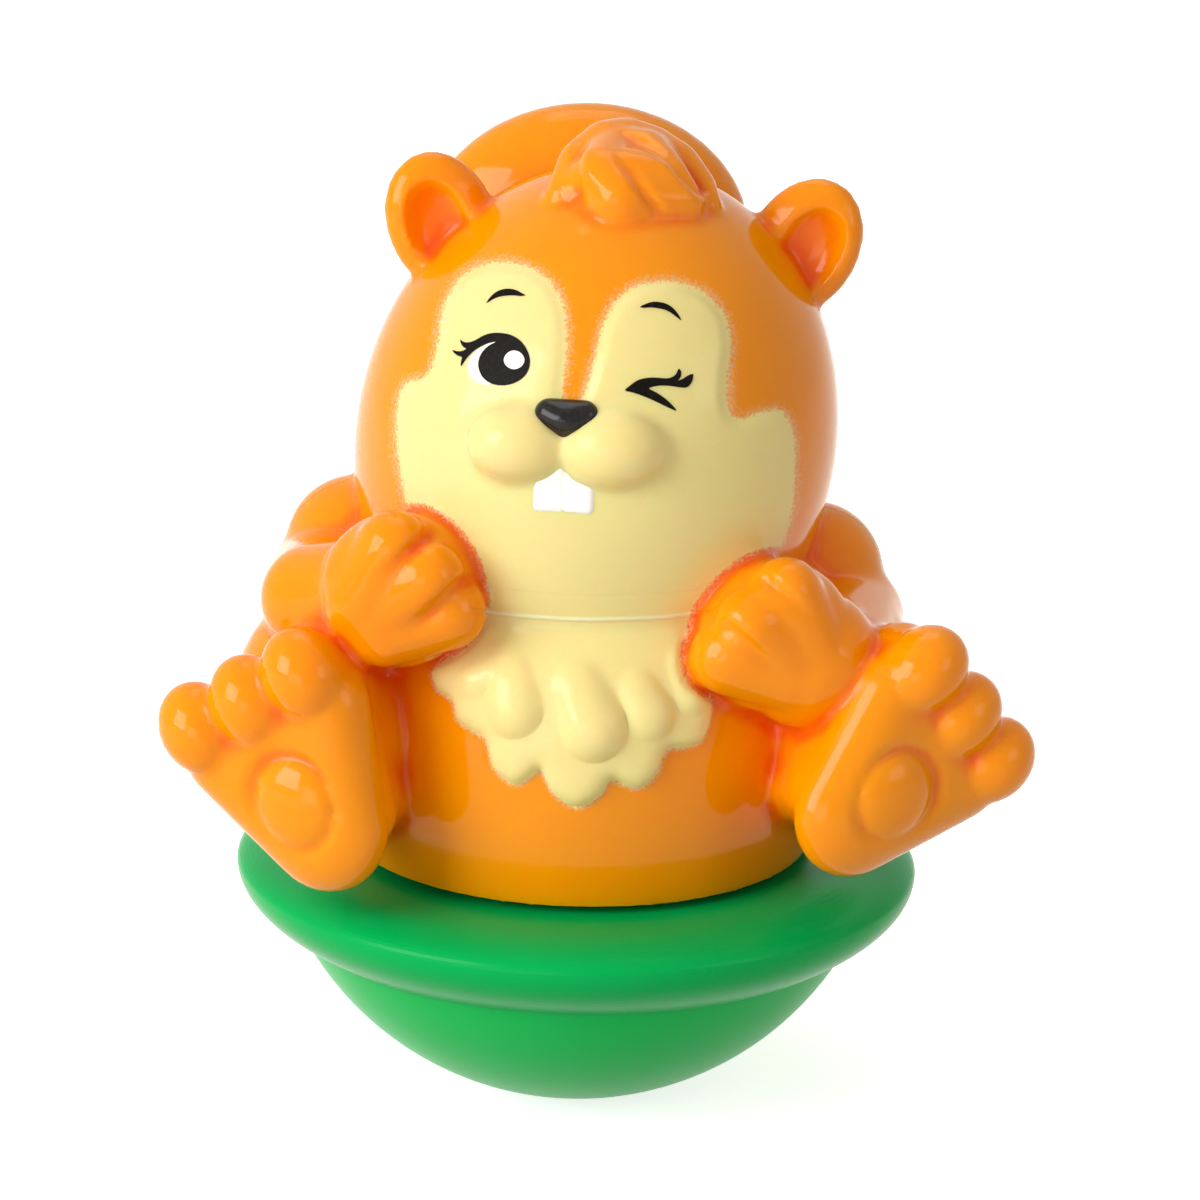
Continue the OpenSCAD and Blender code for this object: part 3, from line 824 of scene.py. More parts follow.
@dataclass
class SquirrelShells:
    """The two moulded shells of the squirrel: sizes in millimetres, as in the part's own source."""

    camera: PhotoCamera
    finish: SprayedPlastic
    body_r: float = 28.8
    body_h: float = 33.2
    neck_r: float = 24.0
    belly_share: float = 0.36
    shell_wall: float = 2.0
    floor_t: float = 2.4
    hub_hole_r: float = 9.35
    head_half: Triple = (27.8, 28.0, 32.5)
    head_rise: float = 14.8
    head_off: float = 0.973
    head_lean: float = 13.0
    face_turn: float = 11.0
    voxel: float = 0.5
    seam: float = 0.06

    # Arms and hands
    arm_shares: dict[Side, tuple[Triple, ...]] = field(default_factory=lambda: {
        Side.LEFT: ((-0.72, 0.22, 1.08), (-1.03, 0.12, 0.86), (-1.10, -0.50, 0.98), (-0.80, -0.76, 1.08)),
        Side.RIGHT: ((0.74, 0.22, 1.03), (1.07, 0.12, 0.75), (1.00, -0.53, 0.79), (0.73, -0.77, 0.93)),
    })
    fist_root_shares: dict[Side, Triple] = field(default_factory=lambda: {
        Side.LEFT: (-0.48, -0.48, 0.92), Side.RIGHT: (0.44, -0.48, 0.82)})
    arm_r: tuple[float, ...] = (7.6, 7.6, 6.2, 6.2)
    upper_out: float = 1.2
    upper_rise: float = 1.0
    upper_share: float = 1.12
    bend_share: float = 0.6
    back_share: float = 0.64
    fist_r: float = 9.0
    fist_out: float = 0.8
    palm_share: float = 0.72
    finger_r: float = 4.8
    finger_way: Pair = (0.76, 0.65)
    tip_shares: Triple = (0.44, 0.54, 0.46)
    outer_shares: Triple = (0.1, 0.0, 0.14)
    root_shares: Triple = (-0.42, 0.2, 0.22)
    finger_end_shares: Pair = (0.95, 0.9)
    cuff: Triple = (4.0, 1.6, -3.0)
    cuff_r: float = 8.2
    cuff_share: float = 0.78

    # Legs and feet
    foot_shares: dict[Side, Triple] = field(default_factory=lambda: {
        Side.LEFT: (-1.11, -0.93, 0.39), Side.RIGHT: (1.11, -0.93, 0.43)})
    foot_roll: dict[Side, float] = field(default_factory=lambda: {Side.LEFT: -33.0, Side.RIGHT: 52.0})
    hip_share: Triple = (0.95, -0.16, 0.54)
    heel_root_share: Triple = (0.84, -0.25, 0.26)
    thigh_r: float = 13.4
    foot_turn: float = 28.0
    foot_tip: float = -4.0
    foot_l: float = 25.0
    foot_w: float = 24.5
    foot_t: float = 9.2
    heel_r: float = 7.4
    toe_r: float = 4.6
    pad_w: float = 4.7
    ball_share: float = 0.34
    heel_share: float = 0.46
    toe_step_share: float = 0.31
    toe_up_share: float = 0.5
    toe_shares: Triple = (1.0, 1.05, 1.2)
    pad_shares: Triple = (1.0, 0.2, 1.1)
    pad_sunk_share: float = 0.4
    pad_dish_shares: Triple = (1.32, 0.14, 1.45)

    # Ears and hair: each lump of a strand has its pixel in the photograph, its depth and its radius
    ear_turns: dict[Side, float] = field(default_factory=lambda: {Side.LEFT: -36.0, Side.RIGHT: 45.5})
    ear_half: Triple = (6.4, 3.2, 8.4)
    ear_out_share: float = 1.06
    ear_tilt_share: float = 0.6
    cup_shares: Triple = (0.6, 0.85, 0.68)
    cup_out_share: float = 0.16
    cup_up_share: float = 0.06
    outer_strand: tuple[Lump, ...] = (
        ((562, 196), -7.0, 2.0), ((580, 163), -3.5, 2.6), ((605, 145), -0.5, 2.9),
        ((626, 142), 1.0, 2.9), ((651, 148), 1.0, 2.7), ((679, 162), -1.0, 2.3),
        ((700, 186), -4.0, 1.9), ((710, 203), -6.5, 1.4),
    )
    front_lock: tuple[Lump, ...] = (
        ((614, 150), -1.5, 2.9), ((603, 181), -8.0, 4.1), ((620, 199), -11.0, 3.5),
    )
    middle_lock: tuple[Lump, ...] = (
        ((644, 158), -2.5, 3.4), ((660, 184), -7.5, 3.7), ((684, 199), -9.2, 2.5),
    )

    # Muzzle, ruff and tail: each lock of the ruff has pixel and radius of its tip and of its root
    muzzle_w: float = 6.0
    muzzle_rise: float = 11.8
    muzzle_spread: float = 11.5
    muzzle_shares: Triple = (1.0, 0.8, 0.75)
    muzzle_sunk_share: float = 0.95
    ruff_locks: tuple[Lock, ...] = (
        ((593, 726), 3.3, (577, 682), 3.0), ((520, 708), 2.8, (516, 668), 2.5),
        ((645, 714), 2.4, (633, 688), 1.9), ((685, 695), 1.8, (676, 664), 1.4),
        ((480, 682), 1.5, (494, 673), 1.3),
    )
    lock_proud: float = 0.55
    root_proud: float = 0.8
    tail_lumps: tuple[tuple[Triple, Triple], ...] = (
        ((0.0, 0.78, 0.34), (0.52, 0.8, 0.55)), ((0.0, 0.95, 0.9), (0.8, 1.0, 0.8)),
        ((0.0, 0.97, 1.4), (0.94, 1.05, 1.0)), ((0.02, 0.7, 2.03), (1.0, 1.0, 1.0)),
        ((0.02, 1.05, 1.98), (0.66, 0.84, 0.62)),
    )
    tail_half: Triple = (19.4, 9.0, 16.0)
    tail_top: int = 3
    tail_dish_shares: Pair = (0.74, 0.3)

    # Paint: outlines in the photograph's pixels
    mask: Outline = (
        (503, 262), (482, 265), (462, 277), (448, 297), (441, 318), (438, 340), (434, 360), (426, 376),
        (404, 385), (397, 410), (397, 439), (400, 470), (405, 495), (413, 522), (426, 546), (447, 574),
        (472, 599), (490, 622), (540, 634), (600, 637), (660, 634), (702, 624), (722, 606), (746, 590),
        (765, 573), (779, 552), (788, 530), (793, 505), (795, 470), (794, 437), (784, 413), (764, 411),
        (740, 419), (728, 408), (727, 380), (731, 345), (725, 316), (706, 294), (680, 283), (655, 282),
        (632, 288), (614, 304), (603, 325), (597, 348), (591, 372), (584, 394), (578, 410), (566, 408),
        (562, 390), (565, 368), (567, 345), (566, 320), (560, 297), (546, 278), (526, 266),
    )
    bib: Outline = (
        (432, 672), (437, 690), (452, 701), (458, 721), (476, 734), (486, 741), (494, 768), (515, 785),
        (533, 776), (541, 771), (553, 793), (576, 808), (599, 797), (611, 781), (626, 786), (642, 788),
        (658, 772), (666, 751), (687, 748), (704, 739), (712, 708), (706, 680), (716, 640), (714, 606),
        (484, 606), (466, 640), (446, 658),
    )
    neck_line: Outline = (
        (470, 610), (520, 616), (560, 619), (592, 620), (630, 619), (668, 617), (716, 611),
    )
    paint_low_share: float = 0.1
    mask_under: float = 2.0
    bib_spray: float = 0.1
    bib_crisp: float = 3.0
    bib_over: float = 1.5
    hand_crisp: float = 1.6
    hand_gap: float = 1.0
    flesh_gap: float = 0.2
    neck_front: float = 15.0
    neck_reach: float = 3.0

    # Relief: what stands up from the skin, and the grooves of hair and hands
    hair_grooves: tuple[Outline, ...] = (
        ((589, 130), (578, 151), (574, 176), (578, 202)),
        ((612, 134), (640, 141), (671, 159), (701, 192)),
        ((613, 142), (622, 160), (640, 184), (660, 214)),
    )
    hand_grooves: tuple[Outline, ...] = (
        ((376, 584), (400, 562), (428, 535)), ((412, 630), (436, 608), (464, 582)),
        ((816, 624), (796, 604), (766, 581)), ((780, 674), (757, 654), (728, 630)),
    )
    hair_press: Pair = (0.7, 1.1)
    hand_press: Pair = (0.8, 1.5)
    groove_fade: float = 1.4
    groove_back: float = 6.0
    groove_facing: float = 0.3
    hair_off: float = 0.5
    hand_near: float = 2.0
    relief_front: float = 8.0
    lobe_lift: float = 0.45
    lobe_edge: float = 1.6
    lobe_under: float = 4.0
    lobe_start: float = 2.0
    lobe_fade: float = 8.0
    bib_lift: float = 1.5
    bib_edge: float = 2.4
    bib_up_px: float = 2.0
    bib_start: float = 1.0
    bib_fade: float = 6.0
    bib_hand_gap: float = 0.6
    chest_low: float = 3.0
    fold_rounds: int = 14

    # Screws that close the shells
    screw_r: float = 1.25
    screw_gap: float = 0.15
    screw_l: float = 9.0
    well_r: float = 2.8
    well_floor: float = 2.2
    boss_r: float = 4.2
    boss_sunk: float = 5.0
    boss_seat: float = 1.2
    high_screw_rise: float = 16.0

    # Steps of the skins, and the block that parts them
    trunk_voxel: float = 0.6
    cut_voxel: float = 0.4
    hollow_voxel: float = 1.2
    skin_inset: float = 0.05
    block_side: float = 300.0
    crisp_angle: float = 45.0

    def __post_init__(self) -> None:
        """Take the places that the frame gives."""
        low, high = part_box("front_shell")
        self.figure_z = low[2] / MM
        self.part_y = high[1] / MM
        self.neck_z = self.figure_z + self.body_h
        self.head_at = np.array([self.head_off, 0.0, self.neck_z + self.head_rise])
        self.lean = Euler((0.0, math.radians(self.head_lean), 0.0))

    def on_body(self, shares: Triple) -> np.ndarray:
        """Return a place given as shares of the body's radius across and in depth, and of its height."""
        x, y, z = shares
        return np.array([x * self.body_r, y * self.body_r, self.figure_z + z * self.body_h])

    def head_reach(self, way: np.ndarray) -> float:
        """Return the distance from the head's centre to its skin in a direction."""
        local = way @ np.array(self.lean.to_matrix())
        return 1 / float(np.linalg.norm(local / np.array(self.head_half)))

    def on_head(self, turn: float, rise: float, share: float = 1.0) -> np.ndarray:
        """Return a place on the head, or at a share of its radius, at a turn towards +X and a rise.

        Args:
            turn: turn towards +X from the front, in degrees.
            rise: rise above the level, in degrees.
            share: share of the way from the centre to the skin.

        Returns:
            The place.
        """
        t, r = math.radians(turn), math.radians(rise)
        way = np.array([math.sin(t) * math.cos(r), -math.cos(t) * math.cos(r), math.sin(r)])
        return self.head_at + share * self.head_reach(way) * way

    def head(self, inset: float = 0.0) -> Egg:
        """Return the head, smaller all round by an inset."""
        return Egg(self.head_at, tuple(h - inset for h in self.head_half), self.lean)

    def body(self, inset: float = 0.0) -> Egg:
        """Return the body, whose underside is cut later.

        Args:
            inset: how much smaller the form is all round.

        Returns:
            The body.
        """
        tall = (1 - self.belly_share) * self.body_h / math.sqrt(1 - (self.neck_r / self.body_r) ** 2)
        at = np.array([0.0, 0.0, self.figure_z + self.belly_share * self.body_h])
        return Egg(at, (self.body_r - inset, self.body_r - inset, tall - inset))

    def arm(self, side: Side) -> list[Form]:
        """Return an arm from its shoulder to its hand."""
        joints = [ball(self.on_body(s), r) for s, r in zip(self.arm_shares[side], self.arm_r)]
        return [Limb((a, b)) for a, b in zip(joints, joints[1:])]

    def arm_flesh(self, side: Side) -> list[Form]:
        """Return the full upper arm, and what fills the bend of the arm down to the chest and the thigh.

        Args:
            side: side of the figure.

        Returns:
            Upper arm, bend and back of the hand.
        """
        shoulder, elbow, wrist, fist = (self.on_body(s) for s in self.arm_shares[side])
        root = self.on_body(self.fist_root_shares[side])
        r = self.arm_r[-1]
        swell = np.array([side.value * self.upper_out, 0.0, self.upper_rise])
        upper = ball((shoulder + elbow) / 2 + swell, self.upper_share * self.arm_r[0])
        turns = (shoulder, elbow, wrist, fist, root, self.hip(side))
        bend = Limb(tuple(ball(at, self.bend_share * r) for at in turns))
        back = Limb(tuple(ball(at, self.back_share * self.fist_r) for at in (fist, root)))
        return [upper, bend, back]

    def fingers(self, side: Side) -> list[Limb]:
        """Return the three fingers of a closed hand, fanned from the wrist.

        Args:
            side: side of the figure.

        Returns:
            The fingers.
        """
        inward = -side.value
        at = self.fist(side)
        x, z = self.finger_way
        ways = np.array([[inward * x, 0.0, z], [inward * z, 0.0, -x], [0.0, -1.0, 0.0]])
        fingers = []
        for k in (-1, 0, 1):
            fan = np.array([1.0, k, 1.0])
            tip = at + self.fist_r * (fan * self.tip_shares - abs(k) * np.array(self.outer_shares)) @ ways
            root = at + self.fist_r * (fan * self.root_shares) @ ways
            ends = zip((root, tip), self.finger_end_shares)
            fingers.append(Limb(tuple(ball(end, share * self.finger_r) for end, share in ends)))
        return fingers

    def fist(self, side: Side) -> np.ndarray:
        """Return the middle of a closed hand."""
        return self.on_body(self.arm_shares[side][-1]) - np.array([self.fist_out * side.value, 0.0, 0.0])

    def hand(self, side: Side) -> list[Form]:
        """Return a closed hand, whose grooves are pressed in later.

        Args:
            side: side of the figure.

        Returns:
            The forms of the hand.
        """
        at, r = self.fist(side), self.fist_r
        forms: list[Form] = [Egg(at, (r, self.palm_share * r, r)), *self.fingers(side)]
        if side is Side.RIGHT:
            wrist = ball(at + np.array(self.cuff), self.cuff_r)
            forms.append(Limb((wrist, ball(at, self.cuff_share * self.cuff_r))))
        return forms

    def hip(self, side: Side) -> np.ndarray:
        """Return the middle of a thigh."""
        return self.on_body((side.value * self.hip_share[0], self.hip_share[1], self.hip_share[2]))

    def leg(self, side: Side, inset: float = 0.0) -> list[Form]:
        """Return a thigh and the shin that runs into the foot, smaller by an inset.

        Args:
            side: side of the figure.
            inset: how much smaller the form is all round.

        Returns:
            The forms of the leg.
        """
        foot = self.on_body(self.foot_shares[side])
        return [ball(self.hip(side), self.thigh_r - inset),
                Limb((ball(self.hip(side), self.thigh_r - 2 * inset), ball(foot, self.foot_t / 2 - inset)))]

    def foot_frame(self, side: Side) -> Matrix:
        """Return the frame of a foot: the sole faces -Y, the toes are up, the pad is at the origin.

        Args:
            side: side of the figure.

        Returns:
            The frame.
        """
        turn = Matrix.Rotation(math.radians(side.value * self.foot_turn), 4, "Z")
        tip = Matrix.Rotation(math.radians(self.foot_tip), 4, "X")
        roll = Matrix.Rotation(math.radians(self.foot_roll[side]), 4, "Y")
        return Matrix.Translation(Vector(self.on_body(self.foot_shares[side]))) @ turn @ tip @ roll

    def in_foot(self, side: Side, at: Triple, half: Triple) -> Egg:
        """Return an egg that is placed in a foot's frame."""
        place = self.foot_frame(side)
        return Egg(np.array(place @ Vector(at)), half, place.to_euler())

    def foot(self, side: Side, inset: float = 0.0) -> Limb:
        """Return the flat of a foot from its heel to the ball, smaller by an inset.

        Args:
            side: side of the figure.
            inset: how much smaller the form is all round.

        Returns:
            The foot.
        """
        r = self.foot_t / 2 - inset
        wide = (self.foot_w - self.foot_t) / 2
        corners = [(way * wide, 0.0, self.ball_share * self.foot_l) for way in (-1, 1)]
        heel = self.in_foot(side, (0.0, 0.0, self.heel_r - self.heel_share * self.foot_l),
                            (self.heel_r - inset, r, self.heel_r - inset))
        return Limb((heel, *(self.in_foot(side, corner, (r, r, r)) for corner in corners)))

    def toes(self, side: Side) -> list[Form]:
        """Return the three toes of a foot.

        Args:
            side: side of the figure.

        Returns:
            The toes.
        """
        half = tuple(share * self.toe_r for share in self.toe_shares)
        step, up = self.toe_step_share * self.foot_w, self.toe_up_share * self.foot_l
        return [self.in_foot(side, (k * step, -self.foot_t / 4, up), half) for k in (-1, 0, 1)]

    def heel(self, side: Side) -> Limb:
        """Return what fills the space behind a foot, from its heel and inner toe to the belly and the thigh.

        Args:
            side: side of the figure.

        Returns:
            The filling form.
        """
        r = self.foot_t / 2
        inner = -side.value
        down, up = self.heel_r - self.heel_share * self.foot_l, self.toe_up_share * self.foot_l
        low = self.in_foot(side, (inner * (self.heel_r - r), r / 2, down), (r, r, r))
        high = self.in_foot(side, (inner * self.toe_step_share * self.foot_w, r / 2, up), (r, r, r))
        x, y, z = self.heel_root_share
        root = self.on_body((side.value * x, y, z))
        return Limb((low, high, ball(root, r), ball(self.hip(side), r)))

    def pad(self, side: Side) -> Egg:
        """Return the oval pad of a sole.

        Args:
            side: side of the figure.

        Returns:
            The pad.
        """
        wide, thick, tall = self.pad_shares
        return self.in_foot(side, (0.0, -self.pad_sunk_share * self.foot_t, 0.0),
                            (wide * self.pad_w, thick * self.foot_t, tall * self.pad_w))

    def pad_dish(self, side: Side) -> Egg:
        """Return the hollow round a sole's pad.

        Args:
            side: side of the figure.

        Returns:
            The hollow.
        """
        wide, thick, tall = self.pad_dish_shares
        return self.in_foot(side, (0.0, -self.foot_t / 2, 0.0),
                            (wide * self.pad_w, thick * self.foot_t, tall * self.pad_w))

    def ear_frame(self, side: Side) -> Matrix:
        """Return the frame of an ear: its hollow faces -Y, its top is up.

        Args:
            side: side of the figure.

        Returns:
            The frame.
        """
        turn = math.radians(self.ear_turns[side])
        way = np.array([math.sin(turn), 0.0, math.cos(turn)])
        at = self.head_at + self.ear_out_share * self.head_reach(way) * way
        tilt = Matrix.Rotation(self.ear_tilt_share * turn, 4, "Y")
        spin = Matrix.Rotation(math.radians(-side.value * self.face_turn), 4, "Z")
        return Matrix.Translation(Vector(at)) @ tilt @ spin

    def ear(self, side: Side) -> Egg:
        """Return the outside of an ear."""
        place = self.ear_frame(side)
        return Egg(np.array(place.translation), self.ear_half, place.to_euler())

    def ear_cup(self, side: Side) -> Egg:
        """Return the hollow of an ear.

        Args:
            side: side of the figure.

        Returns:
            The hollow.
        """
        place = self.ear_frame(side)
        wide, thick, tall = self.ear_half
        at = Vector((side.value * self.cup_out_share * wide, -thick, self.cup_up_share * tall))
        half = tuple(share * size for share, size in zip(self.cup_shares, self.ear_half))
        return Egg(np.array(place @ at), half, place.to_euler())

    def tuft(self) -> list[Form]:
        """Return the hair tuft: an outer strand round two full locks that lie close together.

        Each lump of a strand is given by its pixel in the photograph, its depth and its radius.

        Returns:
            The forms of the tuft.
        """
        forms: list[Form] = []
        chains = [[ball(self.camera.at_depth(pixel, y), r) for pixel, y, r in strand]
                  for strand in (self.outer_strand, self.front_lock, self.middle_lock)]
        for lumps in chains:
            forms += [Limb((a, b)) for a, b in zip(lumps, lumps[1:])]
        return forms + [Limb((a, b)) for a, b in zip(chains[1], chains[2])]

    def muzzle(self) -> list[Form]:
        """Return the two lobes of the muzzle.

        Returns:
            The lobes.
        """
        half = tuple(share * self.muzzle_w for share in self.muzzle_shares)
        turns = [side.value * self.muzzle_spread - self.face_turn for side in Side]
        return [Egg(self.on_head(turn, self.muzzle_rise, self.muzzle_sunk_share), half) for turn in turns]

    def on_skin(self, turn: float, share: float, sunk: float) -> np.ndarray:
        """Return a place under the body's skin at a turn and a share of its height.

        Args:
            turn: turn towards +X from the front, in degrees.
            share: share of the body's height.
            sunk: depth below the skin.

        Returns:
            The place.
        """
        shape = self.body()
        z = self.figure_z + share * self.body_h
        r = self.body_r * math.sqrt(1 - ((z - shape.at[2]) / shape.half[2]) ** 2) - sunk
        return np.array([r * math.sin(math.radians(turn)), -r * math.cos(math.radians(turn)), z])

    def ruff(self) -> list[Limb]:
        """Return the locks that lie on the chest ruff: pixel and radius of each tip and root.

        Returns:
            The locks.
        """
        spot = self.camera.spot()
        locks = []
        for tip, tip_r, root, root_r in self.ruff_locks:
            ends = []
            for pixel, r, proud in ((tip, tip_r, self.lock_proud * tip_r), (root, root_r, self.root_proud)):
                ends.append(ball(self.body(r - proud).hit(spot, np.array(self.camera.ray(pixel))), r))
            locks.append(Limb(tuple(ends)))
        return locks

    def tail(self, inset: float = 0.0) -> list[Form]:
        """Return the tail from its root to its curled tip, smaller by an inset.

        Args:
            inset: how much smaller the form is all round.

        Returns:
            The forms of the tail.
        """
        lumps = [Egg(self.on_body(at), tuple(share * h - inset for share, h in zip(shares, self.tail_half)))
                 for at, shares in self.tail_lumps]
        return [Limb((a, b)) for a, b in zip(lumps, lumps[1:])]

    def tail_dish(self) -> Egg:
        """Return the shallow hollow in the front of the tail's round top.

        Returns:
            The hollow.
        """
        wide, thick, tall = self.tail_half
        at = self.on_body(self.tail_lumps[self.tail_top][0]) - np.array([0.0, thick, 0.0])
        across, deep = self.tail_dish_shares
        return Egg(at, (across * wide, deep * thick, across * tall))

    def mask_depth(self, points: np.ndarray) -> np.ndarray:
        """Return how far points lie inside the painted face, in millimetres.

        Args:
            points: places in millimetres, one per row.

        Returns:
            The depth of each point, negative outside.
        """
        outline = smooth_outline(self.mask, 4)
        depth = self.camera.millimetres(1.0) * inside_by(self.camera.to_pixels(points), outline)
        return np.where(points[:, 1] < 0, depth, -FAR)

    def bib_depth(self, points: np.ndarray, up: float = 0.0) -> np.ndarray:
        """Return how far points lie inside the ruff's outline, moved up by some pixels, in millimetres."""
        outline = smooth_outline(self.bib, 4) - np.array([0.0, up])
        return self.camera.millimetres(1.0) * inside_by(self.camera.to_pixels(points), outline)

    def from_hands(self, points: np.ndarray) -> np.ndarray:
        """Return how far points lie from the hands and arms, in millimetres.

        Args:
            points: places in millimetres, one per row.

        Returns:
            The distance of each point.
        """
        gaps = []
        for side in Side:
            gaps += [form.depth(points) for form in self.fingers(side) + self.arm(side)]
            gaps.append(ball(self.fist(side), self.fist_r).depth(points))
            gaps.append(self.arm_flesh(side)[-1].depth(points) + self.flesh_gap)
        return np.min(gaps, 0)

    def cream_depth(self, points: np.ndarray) -> np.ndarray:
        """Return how far points lie inside the cream paint, in millimetres.

        Args:
            points: places in millimetres, one per row.

        Returns:
            The depth of each point, negative outside.
        """
        depth = np.full(len(points), -FAR)
        near = (points[:, 1] < 0) & (points[:, 2] > self.figure_z + self.paint_low_share * self.body_h)
        seen = points[near]
        face = np.where(seen[:, 2] > self.neck_z - self.mask_under, self.mask_depth(seen), -FAR)
        chest = self.bib_depth(seen) + self.bib_spray
        crisp = np.where(chest < 0, self.bib_crisp * chest, chest)
        ruff = np.where(seen[:, 2] < self.neck_z + self.bib_over, crisp, -FAR)
        clear = self.hand_crisp * (self.from_hands(seen) - self.hand_gap)
        depth[near] = np.minimum(np.maximum(face, ruff), clear)
        return depth

    def neck_gap(self, points: np.ndarray) -> np.ndarray:
        """Return how far points lie from the ridge at the neck, in millimetres, and FAR for those elsewhere.

        Args:
            points: places in millimetres, one per row.

        Returns:
            The distance of each point.
        """
        column, row = self.camera.to_pixels(points).T
        line = np.array(self.neck_line, float)
        gap = self.camera.millimetres(1.0) * (row - np.interp(column, line[:, 0], line[:, 1]))
        front = (points[:, 1] < -self.neck_front) & (np.abs(gap) < self.neck_reach)
        gap[~(front & (column > line[0, 0]) & (column < line[-1, 0]))] = FAR
        return gap

    def pressed(self, seen: np.ndarray, lines: tuple[Outline, ...], press: Pair) -> np.ndarray:
        """Return how deep grooves press in, in millimetres. They fade towards the first point of each line.

        Args:
            seen: pixels of the places asked about.
            lines: the grooves as lines of pixels.
            press: depth of a groove and how far it reaches to each side, in millimetres.

        Returns:
            The depth at each place.
        """
        deep, reach = press
        depth = np.zeros(len(seen))
        for line in lines:
            track = np.array(line, float)
            near = np.clip(1 - self.camera.millimetres(1.0) * from_line(seen, track) / reach, 0, 1)
            run = np.linalg.norm(seen - track[0], axis=1) / np.linalg.norm(track[-1] - track[0])
            depth = np.maximum(depth, deep * eased(near) * np.clip(self.groove_fade * run, 0, 1))
        return depth

    def raise_fronts(self, piece: bpy.types.Object) -> None:
        """Lift the eye lobes and the chest ruff off the skin, and press the grooves of hair and hands in.

        Args:
            piece: piece to work on.
        """
        points = places(piece)
        flat = np.empty(points.size)
        piece.data.vertex_normals.foreach_get("vector", flat)
        normals = flat.reshape(-1, 3)
        lift = np.zeros(len(points))
        ahead = points[:, 1] < -self.relief_front
        face = ahead & (points[:, 2] > self.head_at[2] - self.lobe_under)
        step = np.clip(self.mask_depth(points[face]) / self.lobe_edge, 0, 1)
        high = np.clip((points[face, 2] - self.head_at[2] - self.lobe_start) / self.lobe_fade, 0, 1)
        lift[face] = self.lobe_lift * eased(step) * high
        chest = ahead & (points[:, 2] < self.neck_z) & (points[:, 2] > self.figure_z + self.chest_low)
        step = np.clip(self.bib_depth(points[chest], self.bib_up_px) / self.bib_edge, 0, 1)
        low = np.clip((self.neck_z - self.bib_start - points[chest, 2]) / self.bib_fade, 0, 1)
        free = np.clip(self.from_hands(points[chest]) - self.bib_hand_gap, 0, 1)
        lift[chest] = self.bib_lift * np.sqrt(1 - (1 - step) ** 2) * low * free
        front = (points[:, 1] < self.groove_back) & (normals[:, 1] < self.groove_facing)
        seen = self.camera.to_pixels(points[front])
        on_hair = np.clip(self.head().depth(points[front]) - self.hair_off, 0, 1)
        on_hands = np.clip(self.hand_near - self.from_hands(points[front]), 0, 1)
        lift[front] -= on_hair * self.pressed(seen, self.hair_grooves, self.hair_press)
        lift[front] -= on_hands * self.pressed(seen, self.hand_grooves, self.hand_press)
        points += lift[:, None] * normals
        piece.data.vertices.foreach_set("co", (points * MM).ravel())
        piece.data.update()

    def level(self, piece: bpy.types.Object, height: float) -> None:
        """Cut away what lies below a height and close the cut.

        Args:
            piece: piece to work on.
            height: height of the cut in millimetres.
        """
        pick([piece])
        bpy.ops.object.mode_set(mode="EDIT")
        bpy.ops.mesh.select_all(action="SELECT")
        bpy.ops.mesh.bisect(plane_co=(0, 0, height * MM), plane_no=(0, 0, 1), use_fill=True, clear_inner=True)
        bpy.ops.object.mode_set(mode="OBJECT")

    def hollow(self) -> bpy.types.Object:
        """Return the inside of the figure as a cutting tool.

        Returns:
            The tool.
        """
        wall = self.shell_wall
        forms: list[Form] = [self.head(wall), self.body(wall), *self.tail(wall)]
        for side in Side:
            forms += [*self.leg(side, wall), self.foot(side, wall)]
        tool = moulded(forms, voxel_mm=self.hollow_voxel, rounds=2, segments=32)
        self.level(tool, self.figure_z + self.floor_t)
        carve(tool, self.rods(self.boss_r, -self.body_r, self.body_r), Solver.CUT)
        return tool

    def screw_places(self) -> list[np.ndarray]:
        """Return the places of the four screws that close the shells.

        Returns:
            The places.
        """
        low_share = (self.floor_t + self.boss_r - self.boss_seat) / self.body_h
        spots = []
        for side in Side:
            turn = 90.0 * side.value
            high = self.on_head(turn, self.high_screw_rise)
            way = (high - self.head_at) / np.linalg.norm(high - self.head_at)
            spots += [high - self.boss_sunk * way, self.on_skin(turn, low_share, self.boss_sunk)]
        return spots

    def rods(self, radius: float, start: float, end: float) -> bpy.types.Object:
        """Return rods on the screws' axes as a cutting tool.

        Args:
            radius: radius of the rods.
            start: where the rods start behind the parting plane.
            end: where the rods end behind the parting plane.

        Returns:
            The tool.
        """
        rods = []
        for x, _, z in self.screw_places():
            bpy.ops.mesh.primitive_cylinder_add(
                vertices=48, radius=radius * MM, depth=(end - start) * MM, rotation=(math.pi / 2, 0, 0),
                location=(x * MM, (self.part_y + (start + end) / 2) * MM, z * MM))
            rods.append(bpy.context.active_object)
        return joined(rods)

    def hub(self) -> bpy.types.Object:
        """Return the hole in the floor that turns on the base's post, as a cutting tool.

        Returns:
            The tool.
        """
        bpy.ops.mesh.primitive_cylinder_add(
            vertices=96, radius=self.hub_hole_r * MM, depth=4 * self.floor_t * MM,
            location=(0, 0, self.figure_z * MM))
        tool = bpy.context.active_object
        settle(tool)
        return tool

